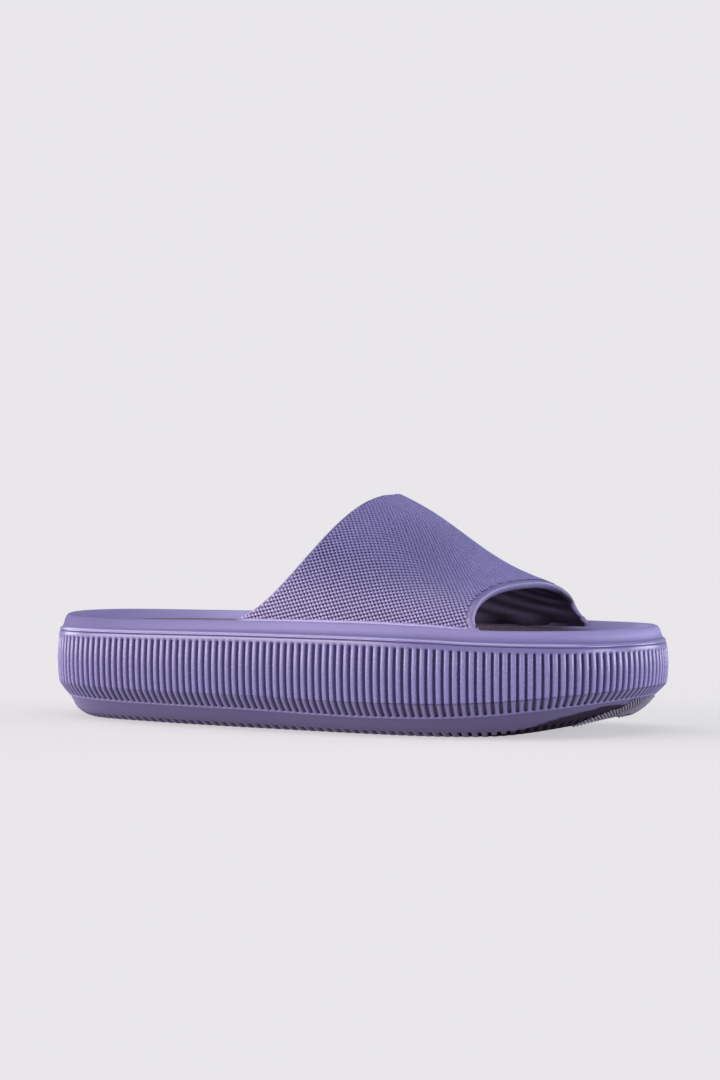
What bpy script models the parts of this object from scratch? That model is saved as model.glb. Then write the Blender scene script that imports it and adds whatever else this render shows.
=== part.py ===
# A flat slipper for the right foot: ribbed foam sole, dished footbed and one wide strap.
# Metres, +Z up. +X runs from heel to toe, +Y is the medial side, and the sole stands on Z = 0.
import math
from collections import namedtuple

import bmesh
import bpy
import numpy as np

MM = 0.001

# Driving sizes
LENGTH = 262 * MM
TOE_TIP_MEDIAL = 9.9 * MM       # the toe tip lies this far from the heel's axis
SEAM_GAP = 0.3 * MM             # between one piece and the next
RIB_COUNT = 200                 # ribs around the side wall
RIB_DEPTH = 0.8 * MM
BULGE_SHARE = 0.45              # height of the wall's widest level, from parting line to ledge
COLUMNS_PER_RIB = 2             # a ridge and a groove
PLAIN_STEP = 4                  # ribbed columns for each column of a plain ring
PARTING_INSET = 0.5 * MM        # of the wall's foot behind its widest level
CHAMFER_INSET = 4.8 * MM        # of the ribs' lower ends
FLANGE_INSET = 3.0 * MM         # plain edge of the faces where midsole and outsole meet
RECESS_DEPTH = 7.0 * MM         # of the footbed's recess under the ledge
RECESS_INSET = 12.0 * MM        # from the widest level of the wall to the recess
DISH_HEEL = 4.0 * MM            # of the footbed under its own edge
DISH_TOE = 2.0 * MM
DISH_SHORTEN = 0.7              # the dish's middle line is this share of the footbed's length
STRAP_WALL = 3.2 * MM
STRAP_FOOT_INSET = 7.0 * MM     # from the widest level of the wall to the strap's outer face
STRAP_FOOT_HEIGHT = 41.8 * MM
STRAP_FOOT_REACH = 4.0 * MM     # the strap is cut to the rim from this much below its foot
SEAT_MARGIN = 1.0 * MM          # the shape that cuts the strap's feet reaches this far past the rim
RIDGE_WAVE = 1.36 * MM          # the strap's ridge is full behind and slack in front
TREAD_PITCH = 8.6 * MM
TREAD_WIDTH = 2.2 * MM
TREAD_DEPTH = 1.6 * MM
TREAD_START = 20 * MM           # first groove, from the heel's back
TREAD_COUNT = 27
TREAD_REACH = 80 * MM           # past both sides of the sole

# Plan of the wall at its widest: half widths in mm to each side of the heel's axis
PlanRow = namedtuple("PlanRow", "station lateral medial")
PLAN = (
    PlanRow(0.03, 23.3, 23.3),
    PlanRow(0.09, 36.0, 36.2),
    PlanRow(0.18, 43.4, 43.2),
    PlanRow(0.30, 49.6, 37.2),
    PlanRow(0.43, 53.8, 33.7),
    PlanRow(0.56, 57.3, 38.8),
    PlanRow(0.68, 58.6, 44.7),
    PlanRow(0.79, 54.5, 45.8),
    PlanRow(0.89, 44.9, 43.6),
    PlanRow(0.96, 27.4, 36.8),
)

# Heights of the side's lines in mm, and of the rim over the ledge
LevelRow = namedtuple("LevelRow", "station rim ledge parting rib_end ground")
LEVELS = (
    LevelRow(0.00, 5.8, 36.9, 14.5, 9.0, 0.0),
    LevelRow(0.20, 4.4, 37.7, 13.9, 8.2, 0.0),
    LevelRow(0.40, 4.6, 38.5, 14.0, 8.1, 0.0),
    LevelRow(0.60, 4.9, 38.7, 13.3, 7.3, 0.0),
    LevelRow(0.72, 4.7, 38.2, 13.5, 7.7, 0.0),
    LevelRow(0.80, 4.4, 37.4, 14.2, 8.9, 0.4),
    LevelRow(0.90, 4.7, 36.8, 16.4, 11.8, 4.0),
    LevelRow(1.00, 5.2, 36.3, 18.9, 15.3, 13.0),
)

# Section of the wall's top: inset from its widest level, and drop under the ledge, in mm
WallRow = namedtuple("WallRow", "inset drop")
RIB_TOP = WallRow(0.6, 3.6)
WALL_TOP = (WallRow(0.8, 2.2), WallRow(1.0, 0.7))

# Section of the rim, from the ledge inwards: inset from the wall, and share of the rim's height
RimRow = namedtuple("RimRow", "inset rise")
RIM = (
    RimRow(1.3, 0.00),
    RimRow(2.7, 0.06),
    RimRow(3.2, 0.58),
    RimRow(4.4, 0.92),
    RimRow(6.0, 1.00),
    RimRow(7.8, 0.96),
    RimRow(9.0, 0.72),
    RimRow(10.5, 0.43),
    RimRow(12.0, 0.26),
)

# Section of the smooth band under the ribs: inset, and share of the height from ground to rib end
BandRow = namedtuple("BandRow", "inset share")
BAND = (
    BandRow(5.8, 0.87),
    BandRow(7.8, 0.44),
    BandRow(11.6, 0.10),
    BandRow(14.0, 0.00),
)

# The strap's two open edges: x as a share of the length, y and z of the crest in mm, and the powers
# that shape width, height and forward lean from each foot to the crest
EdgeRow = namedtuple(
    "EdgeRow",
    "lateral_x medial_x crest_x crest_y crest_z "
    "lateral_round medial_round lateral_rise medial_rise lateral_lean medial_lean",
)
COLLAR = EdgeRow(0.367, 0.447, 0.559, 12.2, 92.5, 2.69, 2.40, 2.23, 2.26, 0.50, 1.52)
TOE_OPENING = EdgeRow(0.787, 0.824, 0.792, 4.0, 58.1, 2.60, 3.04, 2.94, 3.35, 2.16, 1.88)
STRAP_COLUMNS = 30              # from foot to foot
STRAP_ROWS = 7                  # between the two borders

# The strap's smooth borders: distance from the edge and height over the textured face, in mm
BorderRow = namedtuple("BorderRow", "distance raised")
COLLAR_BORDER = (BorderRow(0.0, -0.3), BorderRow(0.8, 0.3), BorderRow(2.0, 0.3), BorderRow(2.3, 0.0))
TOE_BORDER = (BorderRow(0.0, -0.3), BorderRow(0.8, 0.5), BorderRow(3.2, 0.5), BorderRow(3.5, 0.0))

# The footbed's dish: share of the way in to its middle line, and share of its depth
DishRow = namedtuple("DishRow", "inwards depth")
DISH = (DishRow(0.2, 0.5), DishRow(0.5, 0.9), DishRow(0.8, 1.0))

# Plain oval pads that break the tread, in mm from the heel's back and from its axis
PadRow = namedtuple("PadRow", "along across half_length half_width")
PADS = (PadRow(48.0, 0.0, 17.0, 15.0), PadRow(172.0, -7.0, 22.0, 24.0))

# Finishes: colour as linear RGB
Finish = namedtuple("Finish", "colour roughness")
FOAM = Finish((0.135, 0.122, 0.262), 0.50)
FOAM_DARK = Finish((0.098, 0.083, 0.195), 0.62)
CREASE_ANGLE = math.radians(30)   # edges sharper than this are shaded as edges


def column(table, name):
    return np.array([getattr(row, name) for row in table])


def closed_spline(points, span_samples, chord_power=0.7):
    # Smooth curve through a ring of points, with as many samples on each span
    count = len(points)
    after = np.linalg.norm(np.roll(points, -1, axis=0) - points, axis=1) ** chord_power
    matrix = np.zeros((count, count))
    right = np.zeros((count, 2))
    for i in range(count):
        j, k = i - 1, (i + 1) % count
        matrix[i, j] = after[i]
        matrix[i, i] = 2 * (after[i] + after[j])
        matrix[i, k] = after[j]
        right[i] = 3 * (after[i] * (points[i] - points[j]) / after[j]
                        + after[j] * (points[k] - points[i]) / after[i])
    slope = np.linalg.solve(matrix, right)
    t = np.linspace(0, 1, span_samples, endpoint=False)[:, None]
    spans = []
    for i in range(count):
        k = (i + 1) % count
        spans.append(
            points[i] * (1 + 2 * t) * (1 - t) ** 2 + points[k] * t ** 2 * (3 - 2 * t)
            + after[i] * (slope[i] * t * (1 - t) ** 2 - slope[k] * t ** 2 * (1 - t))
        )
    return np.vstack(spans)


def smooth_read(x, knots, values):
    # Smooth curve through the knots that doesn't swing past them
    step = np.diff(knots)
    rise = np.diff(values) / step
    slope = np.zeros(len(knots))
    product = rise[1:] * rise[:-1]
    same = product > 0
    slope[1:-1][same] = 2 * product[same] / (rise[1:] + rise[:-1])[same]
    slope[0], slope[-1] = rise[0], rise[-1]
    k = np.clip(np.searchsorted(knots, x) - 1, 0, len(step) - 1)
    t = np.clip((x - knots[k]) / step[k], 0, 1)
    return (values[k] * (1 + 2 * t) * (1 - t) ** 2 + values[k + 1] * t ** 2 * (3 - 2 * t)
            + step[k] * (slope[k] * t * (1 - t) ** 2 - slope[k + 1] * t ** 2 * (1 - t)))


def make_outline(span_samples=60):
    # Closed outline from the heel's back along the lateral side to the toe and back
    x = column(PLAN, "station") * LENGTH
    lateral = np.column_stack([x, -column(PLAN, "lateral") * MM])
    medial = np.column_stack([x, column(PLAN, "medial") * MM])
    ring = np.vstack([[(0, 0)], lateral, [(LENGTH, TOE_TIP_MEDIAL)], medial[::-1]])
    curve = closed_spline(ring, span_samples)
    centre = (curve.min(axis=0) + curve.max(axis=0)) / 2
    toe = span_samples * (len(PLAN) + 1)
    tangent = np.roll(curve, -1, axis=0) - np.roll(curve, 1, axis=0)
    tangent /= np.linalg.norm(tangent, axis=1)[:, None]
    outward = np.column_stack([tangent[:, 1], -tangent[:, 0]])
    return curve - centre, outward, toe, centre


OUTLINE, OUTWARD, TOE_INDEX, FRAME_CENTRE = make_outline()
HEEL_X = -FRAME_CENTRE[0]


def level(name, x):
    return smooth_read((x - HEEL_X) / LENGTH, column(LEVELS, "station"), column(LEVELS, name)) * MM


def wall_points(columns):
    # Points and outward directions, evenly spaced on each side from heel to toe
    points, directions = [], []
    closed = np.vstack([OUTLINE, OUTLINE[:1]])
    closed_out = np.vstack([OUTWARD, OUTWARD[:1]])
    for first, last in ((0, TOE_INDEX), (TOE_INDEX, len(OUTLINE))):
        side, out = closed[first:last + 1], closed_out[first:last + 1]
        run = np.concatenate([[0], np.cumsum(np.linalg.norm(np.diff(side, axis=0), axis=1))])
        at = np.linspace(0, run[-1], columns // 2, endpoint=False)
        points.append(np.column_stack([np.interp(at, run, side[:, k]) for k in (0, 1)]))
        directions.append(np.column_stack([np.interp(at, run, out[:, k]) for k in (0, 1)]))
    return np.vstack(points), np.vstack(directions)


RIBBED = RIB_COUNT * COLUMNS_PER_RIB
PLAIN = RIBBED // PLAIN_STEP


def ring(inset, height, columns=PLAIN, rib=0.0):
    # One ring of the sole: height is a function of x, and rib is the depth of the grooves
    points, out = wall_points(columns)
    depth = np.full(columns, inset)
    depth[1::COLUMNS_PER_RIB] += rib
    flat = points - out * depth[:, None]
    return np.column_stack([flat, height(flat[:, 0])])


def over(name, offset=0.0):
    return lambda x: level(name, x) + offset


def between(low, high, share):
    return lambda x: level(low, x) + (level(high, x) - level(low, x)) * share


def rim_line(rise, grow=0.0):
    return lambda x: level("ledge", x) + level("rim", x) * rise + grow


def rim_rings(grow=0.0):
    return [ring(row.inset * MM, rim_line(row.rise, grow)) for row in RIM]


def sink(edge, share, drop):
    # Ring inside another, drawn towards the middle line and lowered
    partner = edge[-np.arange(len(edge))]
    middle = (edge + partner) / 2
    middle[:, 0] *= DISH_SHORTEN
    inner = edge + (middle - edge) * share
    inner[:, 2] = edge[:, 2] - drop(inner[:, 0])
    return inner


def bridge(bm, low, high):
    # Faces between two rings, where one may have several columns for each column of the other
    if len(low) == len(high):
        for i in range(len(low)):
            k = (i + 1) % len(low)
            bm.faces.new((low[i], low[k], high[k], high[i]))
        return
    fine, coarse, turned = (low, high, False) if len(low) > len(high) else (high, low, True)
    step = len(fine) // len(coarse)
    for i in range(len(coarse)):
        here, there = coarse[i], coarse[(i + 1) % len(coarse)]
        span = [fine[(i * step + k) % len(fine)] for k in range(step + 1)]
        half = step // 2
        faces = [(span[k], span[k + 1], here) for k in range(half)]
        faces.append((here, span[half], there))
        faces += [(span[k], span[k + 1], there) for k in range(half, step)]
        for face in faces:
            bm.faces.new(face[::-1] if turned else face)


def cap(bm, edge, upward):
    # Closes a ring with a ladder of faces from side to side
    count = len(edge)
    for i in range(count // 2):
        face = [edge[i], edge[i + 1], edge[count - i - 1], edge[-i]]
        face = list(dict.fromkeys(face))
        bm.faces.new(face if upward else face[::-1])


def loft(name, rings):
    # Closed solid through a stack of rings, from the lowest to the innermost on top
    bm = bmesh.new()
    edges = [[bm.verts.new(point) for point in points] for points in rings]
    for low, high in zip(edges, edges[1:]):
        bridge(bm, low, high)
    cap(bm, edges[0], upward=False)
    cap(bm, edges[-1], upward=True)
    mesh = bpy.data.meshes.new(name)
    bm.to_mesh(mesh)
    bm.free()
    return bpy.data.objects.new(name, mesh)


def make_midsole():
    seam = over("parting", SEAM_GAP / 2)
    rings = [
        ring(FLANGE_INSET, seam),
        ring(PARTING_INSET, seam, RIBBED, RIB_DEPTH),
        ring(0.0, between("parting", "ledge", BULGE_SHARE), RIBBED, RIB_DEPTH),
        ring(RIB_TOP.inset * MM, over("ledge", -RIB_TOP.drop * MM), RIBBED, RIB_DEPTH),
    ]
    rings += [ring(row.inset * MM, over("ledge", -row.drop * MM)) for row in WALL_TOP]
    rings += rim_rings()
    rings.append(ring(RECESS_INSET, over("ledge", -RECESS_DEPTH)))
    return loft("midsole", rings)


def tread_spans(x):
    # Stretches of the groove at this place along the sole, to each side of a pad
    for pad in PADS:
        off = (x - HEEL_X - pad.along * MM) / (pad.half_length * MM)
        if abs(off) < 1:
            middle = pad.across * MM - FRAME_CENTRE[1]
            half = pad.half_width * MM * math.sqrt(1 - off * off)
            return [(-TREAD_REACH, middle - half), (middle + half, TREAD_REACH)]
    return [(-TREAD_REACH, TREAD_REACH)]


def make_tread_cutter():
    # Bars across the sole that follow its toe spring and stop at the pads
    bm = bmesh.new()
    for i in range(TREAD_COUNT):
        x = HEEL_X + TREAD_START + i * TREAD_PITCH
        slope = math.atan(float(level("ground", x + MM) - level("ground", x - MM)) / (2 * MM))
        for start, end in tread_spans(x):
            made = bmesh.ops.create_cube(bm, size=1)["verts"]
            for vert in made:
                along = vert.co.x * TREAD_WIDTH
                tall = vert.co.z * 2 * TREAD_DEPTH
                vert.co.y = (start + end) / 2 + vert.co.y * (end - start)
                vert.co.x = x + along * math.cos(slope) - tall * math.sin(slope)
                vert.co.z = float(level("ground", x)) + along * math.sin(slope) + tall * math.cos(slope)
    mesh = bpy.data.meshes.new("tread_cutter")
    bm.to_mesh(mesh)
    bm.free()
    return bpy.data.objects.new("tread_cutter", mesh)


def make_outsole():
    rings = [ring(row.inset * MM, between("ground", "rib_end", row.share)) for row in reversed(BAND)]
    seam = over("parting", -SEAM_GAP / 2)
    rings += [
        ring(CHAMFER_INSET, over("rib_end"), RIBBED, RIB_DEPTH),
        ring(PARTING_INSET, seam, RIBBED, RIB_DEPTH),
        ring(FLANGE_INSET, seam),
    ]
    return loft("outsole", rings)


def footbed_drop(share):
    # Depth of the dish at this share of the way in, deepest under the heel
    def drop(x):
        along = np.clip((x - HEEL_X) / LENGTH, 0, 1)
        return share * (DISH_HEEL + (DISH_TOE - DISH_HEEL) * along)
    return drop


def make_footbed():
    inset = RECESS_INSET + SEAM_GAP
    edge = ring(inset, rim_line(RIM[-1].rise))
    rings = [ring(inset, over("ledge", SEAM_GAP - RECESS_DEPTH)), edge]
    rings += [sink(edge, row.inwards, footbed_drop(row.depth)) for row in DISH]
    return loft("footbed", rings)


def foot_y(x, side):
    # Where the strap's outer face stands on the rim, on the lateral (-1) or medial (1) side
    line = OUTLINE - OUTWARD * STRAP_FOOT_INSET
    half = line[:TOE_INDEX + 1] if side < 0 else line[TOE_INDEX:][::-1]
    return float(np.interp(x, half[:, 0], half[:, 1]))


def strap_edge(row):
    # One open edge of the strap, from the lateral foot over the crest to the medial foot
    crest = np.array([
        HEEL_X + row.crest_x * LENGTH,
        row.crest_y * MM - FRAME_CENTRE[1],
        row.crest_z * MM,
    ])
    turn = np.linspace(0, math.pi / 2, STRAP_COLUMNS // 2 + 1)
    up, out = np.sin(turn), np.maximum(np.cos(turn), 0)
    halves = []
    for side, share, round_, rise, lean in (
        (-1, row.lateral_x, row.lateral_round, row.lateral_rise, row.lateral_lean),
        (1, row.medial_x, row.medial_round, row.medial_rise, row.medial_lean),
    ):
        x = HEEL_X + share * LENGTH
        foot = np.array([x, foot_y(x, side), STRAP_FOOT_HEIGHT])
        half = np.column_stack([
            foot[0] + (crest[0] - foot[0]) * up ** lean,
            crest[1] + (foot[1] - crest[1]) * out ** (2 / round_),
            foot[2] + (crest[2] - foot[2]) * up ** (2 / rise),
        ])
        halves.append(np.vstack([foot - (0, 0, STRAP_FOOT_REACH), half]))
    return np.vstack([halves[0], halves[1][::-1][1:]])


def strap_surface():
    # Inner face of the strap, a row for each place between collar and toe, and the wall on each row
    collar, toe = strap_edge(COLLAR), strap_edge(TOE_OPENING)
    span = np.linalg.norm(toe - collar, axis=1)
    arch = np.sin(np.linspace(0, math.pi, len(collar)))
    places = [(row.distance * MM / span, row.raised * MM) for row in COLLAR_BORDER]
    inner = np.linspace(0, 1, STRAP_ROWS + 2)[1:-1]
    first = COLLAR_BORDER[-1].distance * MM / span
    last = 1 - TOE_BORDER[-1].distance * MM / span
    places += [(first + (last - first) * share, 0.0) for share in inner]
    places += [(1 - row.distance * MM / span, row.raised * MM) for row in reversed(TOE_BORDER)]
    rows, walls = [], []
    for share, raised in places:
        row = collar + (toe - collar) * share[:, None]
        row[:, 2] += RIDGE_WAVE * np.sin(2 * math.pi * share) * arch
        for side, ends in ((-1, (0, 1)), (1, (-1, -2))):
            for k in ends:
                row[k, 1] = foot_y(row[k, 0], side)
        rows.append(row)
        walls.append(STRAP_WALL + raised)
    grid = np.array(rows)
    across = np.gradient(grid, axis=1)
    along = np.gradient(grid, axis=0)
    normal = np.cross(along, across)
    normal /= np.linalg.norm(normal, axis=2)[:, :, None]
    return grid - normal * STRAP_WALL, walls


def make_upper():
    grid, walls = strap_surface()
    bm = bmesh.new()
    verts = [[bm.verts.new(point) for point in row] for row in grid]
    for low, high in zip(verts, verts[1:]):
        for i in range(len(low) - 1):
            bm.faces.new((low[i], high[i], high[i + 1], low[i + 1]))
    mesh = bpy.data.meshes.new("upper")
    bm.to_mesh(mesh)
    bm.free()
    upper = bpy.data.objects.new("upper", mesh)
    group = upper.vertex_groups.new(name="wall")
    across = grid.shape[1]
    for row, wall in enumerate(walls):
        group.add(range(row * across, (row + 1) * across), wall / max(walls), "REPLACE")
    shell = upper.modifiers.new("wall", "SOLIDIFY")
    shell.thickness = max(walls)
    shell.offset = 1
    shell.vertex_group = group.name
    return upper


def make_seat_cutter():
    # The rim, grown by the seam, that shapes the strap's feet
    rings = [ring(RIM[0].inset * MM, over("ledge", -2 * RECESS_DEPTH))]
    rings += rim_rings(SEAM_GAP)
    rings.append(ring(RECESS_INSET + SEAT_MARGIN, over("ledge", -RECESS_DEPTH)))
    return loft("seat_cutter", rings)


def foam(name, finish):
    material = bpy.data.materials.new(name)
    material.use_nodes = True
    shader = material.node_tree.nodes["Principled BSDF"]
    shader.inputs["Base Color"].default_value = (*finish.colour, 1)
    shader.inputs["Roughness"].default_value = finish.roughness
    shader.inputs["Metallic"].default_value = 0
    material.diffuse_color = (*finish.colour, 1)
    return material


def cut(target, cutter):
    boolean = target.modifiers.new(cutter.name, "BOOLEAN")
    boolean.operation = "DIFFERENCE"
    boolean.solver = "EXACT"
    boolean.object = cutter


def main():
    for thing in list(bpy.data.objects):
        bpy.data.objects.remove(thing, do_unlink=True)
    slipper = bpy.data.collections.new("flat_slipper")
    cutters = bpy.data.collections.new("cutters")
    bpy.context.scene.collection.children.link(slipper)
    bpy.context.scene.collection.children.link(cutters)

    parts = {
        make_outsole(): foam("outsole_foam", FOAM_DARK),
        make_midsole(): foam("midsole_foam", FOAM),
        make_footbed(): foam("footbed_foam", FOAM_DARK),
        make_upper(): foam("upper_foam", FOAM),
    }
    for part, material in parts.items():
        part.data.materials.append(material)
        part.data.shade_smooth()
        part.data.set_sharp_from_angle(angle=CREASE_ANGLE)
        slipper.objects.link(part)

    tools = {"outsole": make_tread_cutter(), "upper": make_seat_cutter()}
    for name, cutter in tools.items():
        cutter.hide_render = True
        cutter.display_type = "WIRE"
        cutters.objects.link(cutter)
        cut(slipper.objects[name], cutter)


main()
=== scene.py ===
import math

import bmesh
import bpy
import numpy as np
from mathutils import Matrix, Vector


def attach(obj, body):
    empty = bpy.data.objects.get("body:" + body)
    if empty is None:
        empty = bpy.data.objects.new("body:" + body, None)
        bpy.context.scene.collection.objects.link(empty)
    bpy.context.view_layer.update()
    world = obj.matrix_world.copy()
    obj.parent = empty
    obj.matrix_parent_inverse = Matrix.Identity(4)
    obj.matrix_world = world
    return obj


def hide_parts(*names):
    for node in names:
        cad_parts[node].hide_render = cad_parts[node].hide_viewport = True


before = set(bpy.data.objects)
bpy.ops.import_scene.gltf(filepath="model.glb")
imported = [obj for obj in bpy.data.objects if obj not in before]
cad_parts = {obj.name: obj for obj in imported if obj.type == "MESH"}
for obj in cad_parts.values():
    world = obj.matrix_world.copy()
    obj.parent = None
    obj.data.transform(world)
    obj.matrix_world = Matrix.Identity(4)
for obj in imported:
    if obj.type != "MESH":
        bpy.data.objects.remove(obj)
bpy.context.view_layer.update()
mm = 0.001
print("frame:", sorted(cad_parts))

# The last: every size here and below is in mm, heel to toe along X, lateral side at -Y
last = {
    "length": 262.0,
    "toeTip": 9.9,          # medial of the heel's axis
    # station along the length, half width to the lateral and to the medial side
    "plan": (
        (0.03, 23.3, 23.3),
        (0.09, 36.0, 36.2),
        (0.18, 43.4, 43.2),
        (0.30, 49.6, 37.2),
        (0.43, 53.8, 33.7),
        (0.56, 57.3, 38.8),
        (0.68, 58.6, 44.7),
        (0.79, 54.5, 45.8),
        (0.89, 44.9, 43.6),
        (0.96, 27.4, 36.8),
    ),
    # heights by station: rim over ledge, ledge, parting line, lower end of the ribs, ground
    "stations": (0.0, 0.2, 0.4, 0.6, 0.72, 0.8, 0.9, 1.0),
    "rim": (5.8, 4.4, 4.6, 4.9, 4.7, 4.4, 4.7, 5.2),
    "ledge": (36.9, 37.7, 38.5, 38.7, 38.2, 37.4, 36.8, 36.3),
    "parting": (14.5, 13.9, 14.0, 13.3, 13.5, 14.2, 16.4, 18.9),
    "ribEnd": (9.0, 8.2, 8.1, 7.3, 7.7, 8.9, 11.8, 15.3),
    "ground": (0.0, 0.0, 0.0, 0.0, 0.0, 0.4, 4.0, 13.0),
    "seam": (0.03, 0.03, 0.04, 0.10, 0.14, 0.13, 0.09, 0.06),    # open part of the parting line
    "spanSamples": 200,
    "chordPower": 0.7,      # softens the outline's chord lengths, so that short spans don't bulge
}


def unit(vectors):
    return vectors / np.linalg.norm(vectors, axis=-1, keepdims=True)


def runAlong(points):
    # length of the line through the points, up to each of them
    return np.concatenate([[0], np.cumsum(np.linalg.norm(np.diff(points, axis=0), axis=1))])


def cubicSpan(start, end, leave, arrive, length, t):
    # from start to end, with the slopes by which it leaves and arrives
    return (start * (1 + 2 * t) * (1 - t) ** 2 + end * t ** 2 * (3 - 2 * t)
            + length * (leave * t * (1 - t) ** 2 - arrive * t ** 2 * (1 - t)))


def closedSpline(points, samples):
    # smooth ring through the points
    count = len(points)
    after = np.linalg.norm(np.roll(points, -1, axis=0) - points, axis=1) ** last["chordPower"]
    matrix = np.zeros((count, count))
    right = np.zeros((count, 2))
    for i in range(count):
        j, k = i - 1, (i + 1) % count
        matrix[i, j] = after[i]
        matrix[i, i] = 2 * (after[i] + after[j])
        matrix[i, k] = after[j]
        right[i] = 3 * (after[i] * (points[i] - points[j]) / after[j]
                        + after[j] * (points[k] - points[i]) / after[i])
    slope = np.linalg.solve(matrix, right)
    t = np.linspace(0, 1, samples, endpoint=False)[:, None]
    following = np.roll(np.arange(count), -1)
    return np.vstack([cubicSpan(points[i], points[k], slope[i], slope[k], after[i], t)
                      for i, k in enumerate(following)])


def smoothRead(x, knots, values):
    # smooth curve through the knots that doesn't swing past them
    knots, values = np.asarray(knots, float), np.asarray(values, float)
    step = np.diff(knots)
    rise = np.diff(values) / step
    slope = np.zeros(len(knots))
    product = rise[1:] * rise[:-1]
    same = product > 0
    slope[1:-1][same] = 2 * product[same] / (rise[1:] + rise[:-1])[same]
    slope[0], slope[-1] = rise[0], rise[-1]
    k = np.clip(np.searchsorted(knots, x) - 1, 0, len(step) - 1)
    t = np.clip((x - knots[k]) / step[k], 0, 1)
    return cubicSpan(values[k], values[k + 1], slope[k], slope[k + 1], step[k], t)


def makeOutline():
    plan = np.array(last["plan"])
    x = plan[:, 0] * last["length"]
    lateral = np.column_stack([x, -plan[:, 1]])
    medial = np.column_stack([x, plan[:, 2]])
    ring = np.vstack([[(0, 0)], lateral, [(last["length"], last["toeTip"])], medial[::-1]])
    curve = closedSpline(ring, last["spanSamples"])
    centre = (curve.min(axis=0) + curve.max(axis=0)) / 2
    toe = last["spanSamples"] * (len(plan) + 1)
    tangent = unit(np.roll(curve, -1, axis=0) - np.roll(curve, 1, axis=0))
    outward = np.column_stack([tangent[:, 1], -tangent[:, 0]])
    return curve - centre, outward, toe, centre


outline, outward, toeIndex, frameCentre = makeOutline()
heelX = -frameCentre[0]


def level(name, x):
    return smoothRead((x - heelX) / last["length"], last["stations"], last[name])


def wallAt(shares):
    # points of the wall and outward directions: shares 0 to 0.5 run down the lateral side to the toe
    closed = np.vstack([outline, outline[:1]])
    closedOut = np.vstack([outward, outward[:1]])
    run = runAlong(closed)
    toeRun = run[toeIndex]
    at = np.where(shares < 0.5, shares * 2 * toeRun, toeRun + (shares * 2 - 1) * (run[-1] - toeRun))
    points = np.column_stack([np.interp(at, run, closed[:, k]) for k in (0, 1)])
    directions = np.column_stack([np.interp(at, run, closedOut[:, k]) for k in (0, 1)])
    return points, unit(directions)


def ringAt(shares, inset, height):
    points, out = wallAt(shares)
    flat = points - out * np.reshape(inset, (-1, 1))
    return np.column_stack([flat, height(flat[:, 0])])


def over(name, offset=0.0):
    return lambda x: level(name, x) + offset


def seamSide(side, offset=0.0):
    # the parting line's upper (1) or lower (-1) edge
    return lambda x: level("parting", x) + side * (level("seam", x) / 2 + offset)


def between(low, high, share):
    return lambda x: level(low, x) + (level(high, x) - level(low, x)) * share


# Meshes from rings of points
def ringFaces(first, shares, nextFirst, nextShares):
    count, nextCount = len(shares), len(nextShares)
    if count == nextCount and np.allclose(shares, nextShares):
        return [(first + i, first + (i + 1) % count, nextFirst + (i + 1) % count, nextFirst + i)
                for i in range(count)]
    faces = []
    i = j = 0
    while i < count or j < nextCount:
        ahead = shares[i + 1] if i + 1 < count else 1 + shares[0] + (i >= count)
        nextAhead = nextShares[j + 1] if j + 1 < nextCount else 1 + nextShares[0] + (j >= nextCount)
        here, there = first + i % count, nextFirst + j % nextCount
        if ahead <= nextAhead:
            faces.append((here, first + (i + 1) % count, there))
            i += 1
        else:
            faces.append((here, nextFirst + (j + 1) % nextCount, there))
            j += 1
    return faces


def ladder(first, count):
    # closes a ring from side to side
    faces = []
    for i in range(count // 2):
        face = [first + i, first + i + 1, first + count - i - 1, first + (count - i) % count]
        faces.append(tuple(dict.fromkeys(face)))
    return faces


def plainMesh(name, points, faces, attributes=None):
    mesh = bpy.data.meshes.new(name)
    mesh.from_pydata((np.asarray(points) * mm).tolist(), [], faces)
    for label, values in (attributes or {}).items():
        values = np.asarray(values, np.float32)
        kind, key = ("FLOAT", "value") if values.ndim == 1 else ("FLOAT_VECTOR", "vector")
        mesh.attributes.new(label, kind, "POINT").data.foreach_set(key, values.ravel())
    work = bmesh.new()
    work.from_mesh(mesh)
    if work.faces:
        bmesh.ops.recalc_face_normals(work, faces=work.faces)
    work.to_mesh(mesh)
    work.free()
    mesh.shade_smooth()
    return mesh


def showMesh(name, mesh):
    piece = bpy.data.objects.new(name, mesh)
    bpy.context.scene.collection.objects.link(piece)
    return piece


# Node trees: geometry and shader trees are put together by the same few helpers
def feed(tree, socket, value):
    # a node stands for its first output
    if isinstance(value, bpy.types.Node):
        value = value.outputs[0]
    if isinstance(value, bpy.types.NodeSocket):
        tree.links.new(value, socket)
    else:
        socket.default_value = value


def addNode(tree, kind, settings=None, *values, **inputs):
    # values go to the first sockets in turn, and inputs to the sockets that they name
    node = tree.nodes.new(kind)
    for key, value in (settings or {}).items():
        setattr(node, key, value)
    for socket, value in zip(node.inputs, values):
        feed(tree, socket, value)
    for key, value in inputs.items():
        feed(tree, node.inputs[key.replace("_", " ")], value)
    return node


def calc(tree, operation, *values):
    return addNode(tree, "ShaderNodeMath", {"operation": operation}, *values)


def calcVector(tree, operation, *values, **inputs):
    return addNode(tree, "ShaderNodeVectorMath", {"operation": operation}, *values, **inputs)


def smoothShare(tree, value, low, high):
    # 0 where the value is at low, 1 where it is at high
    return addNode(tree, "ShaderNodeMapRange", {"interpolation_type": "SMOOTHSTEP"}, value, low, high)


def newTree(name, kind, inputs, outputs):
    tree = bpy.data.node_groups.new(name, kind)
    for label, socketKind, value in inputs:
        socket = tree.interface.new_socket(label, in_out="INPUT", socket_type="NodeSocket" + socketKind)
        if value is not None:
            socket.default_value = value
    for label, socketKind in outputs:
        tree.interface.new_socket(label, in_out="OUTPUT", socket_type="NodeSocket" + socketKind)
    return tree, tree.nodes.new("NodeGroupInput").outputs, tree.nodes.new("NodeGroupOutput").inputs


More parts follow.
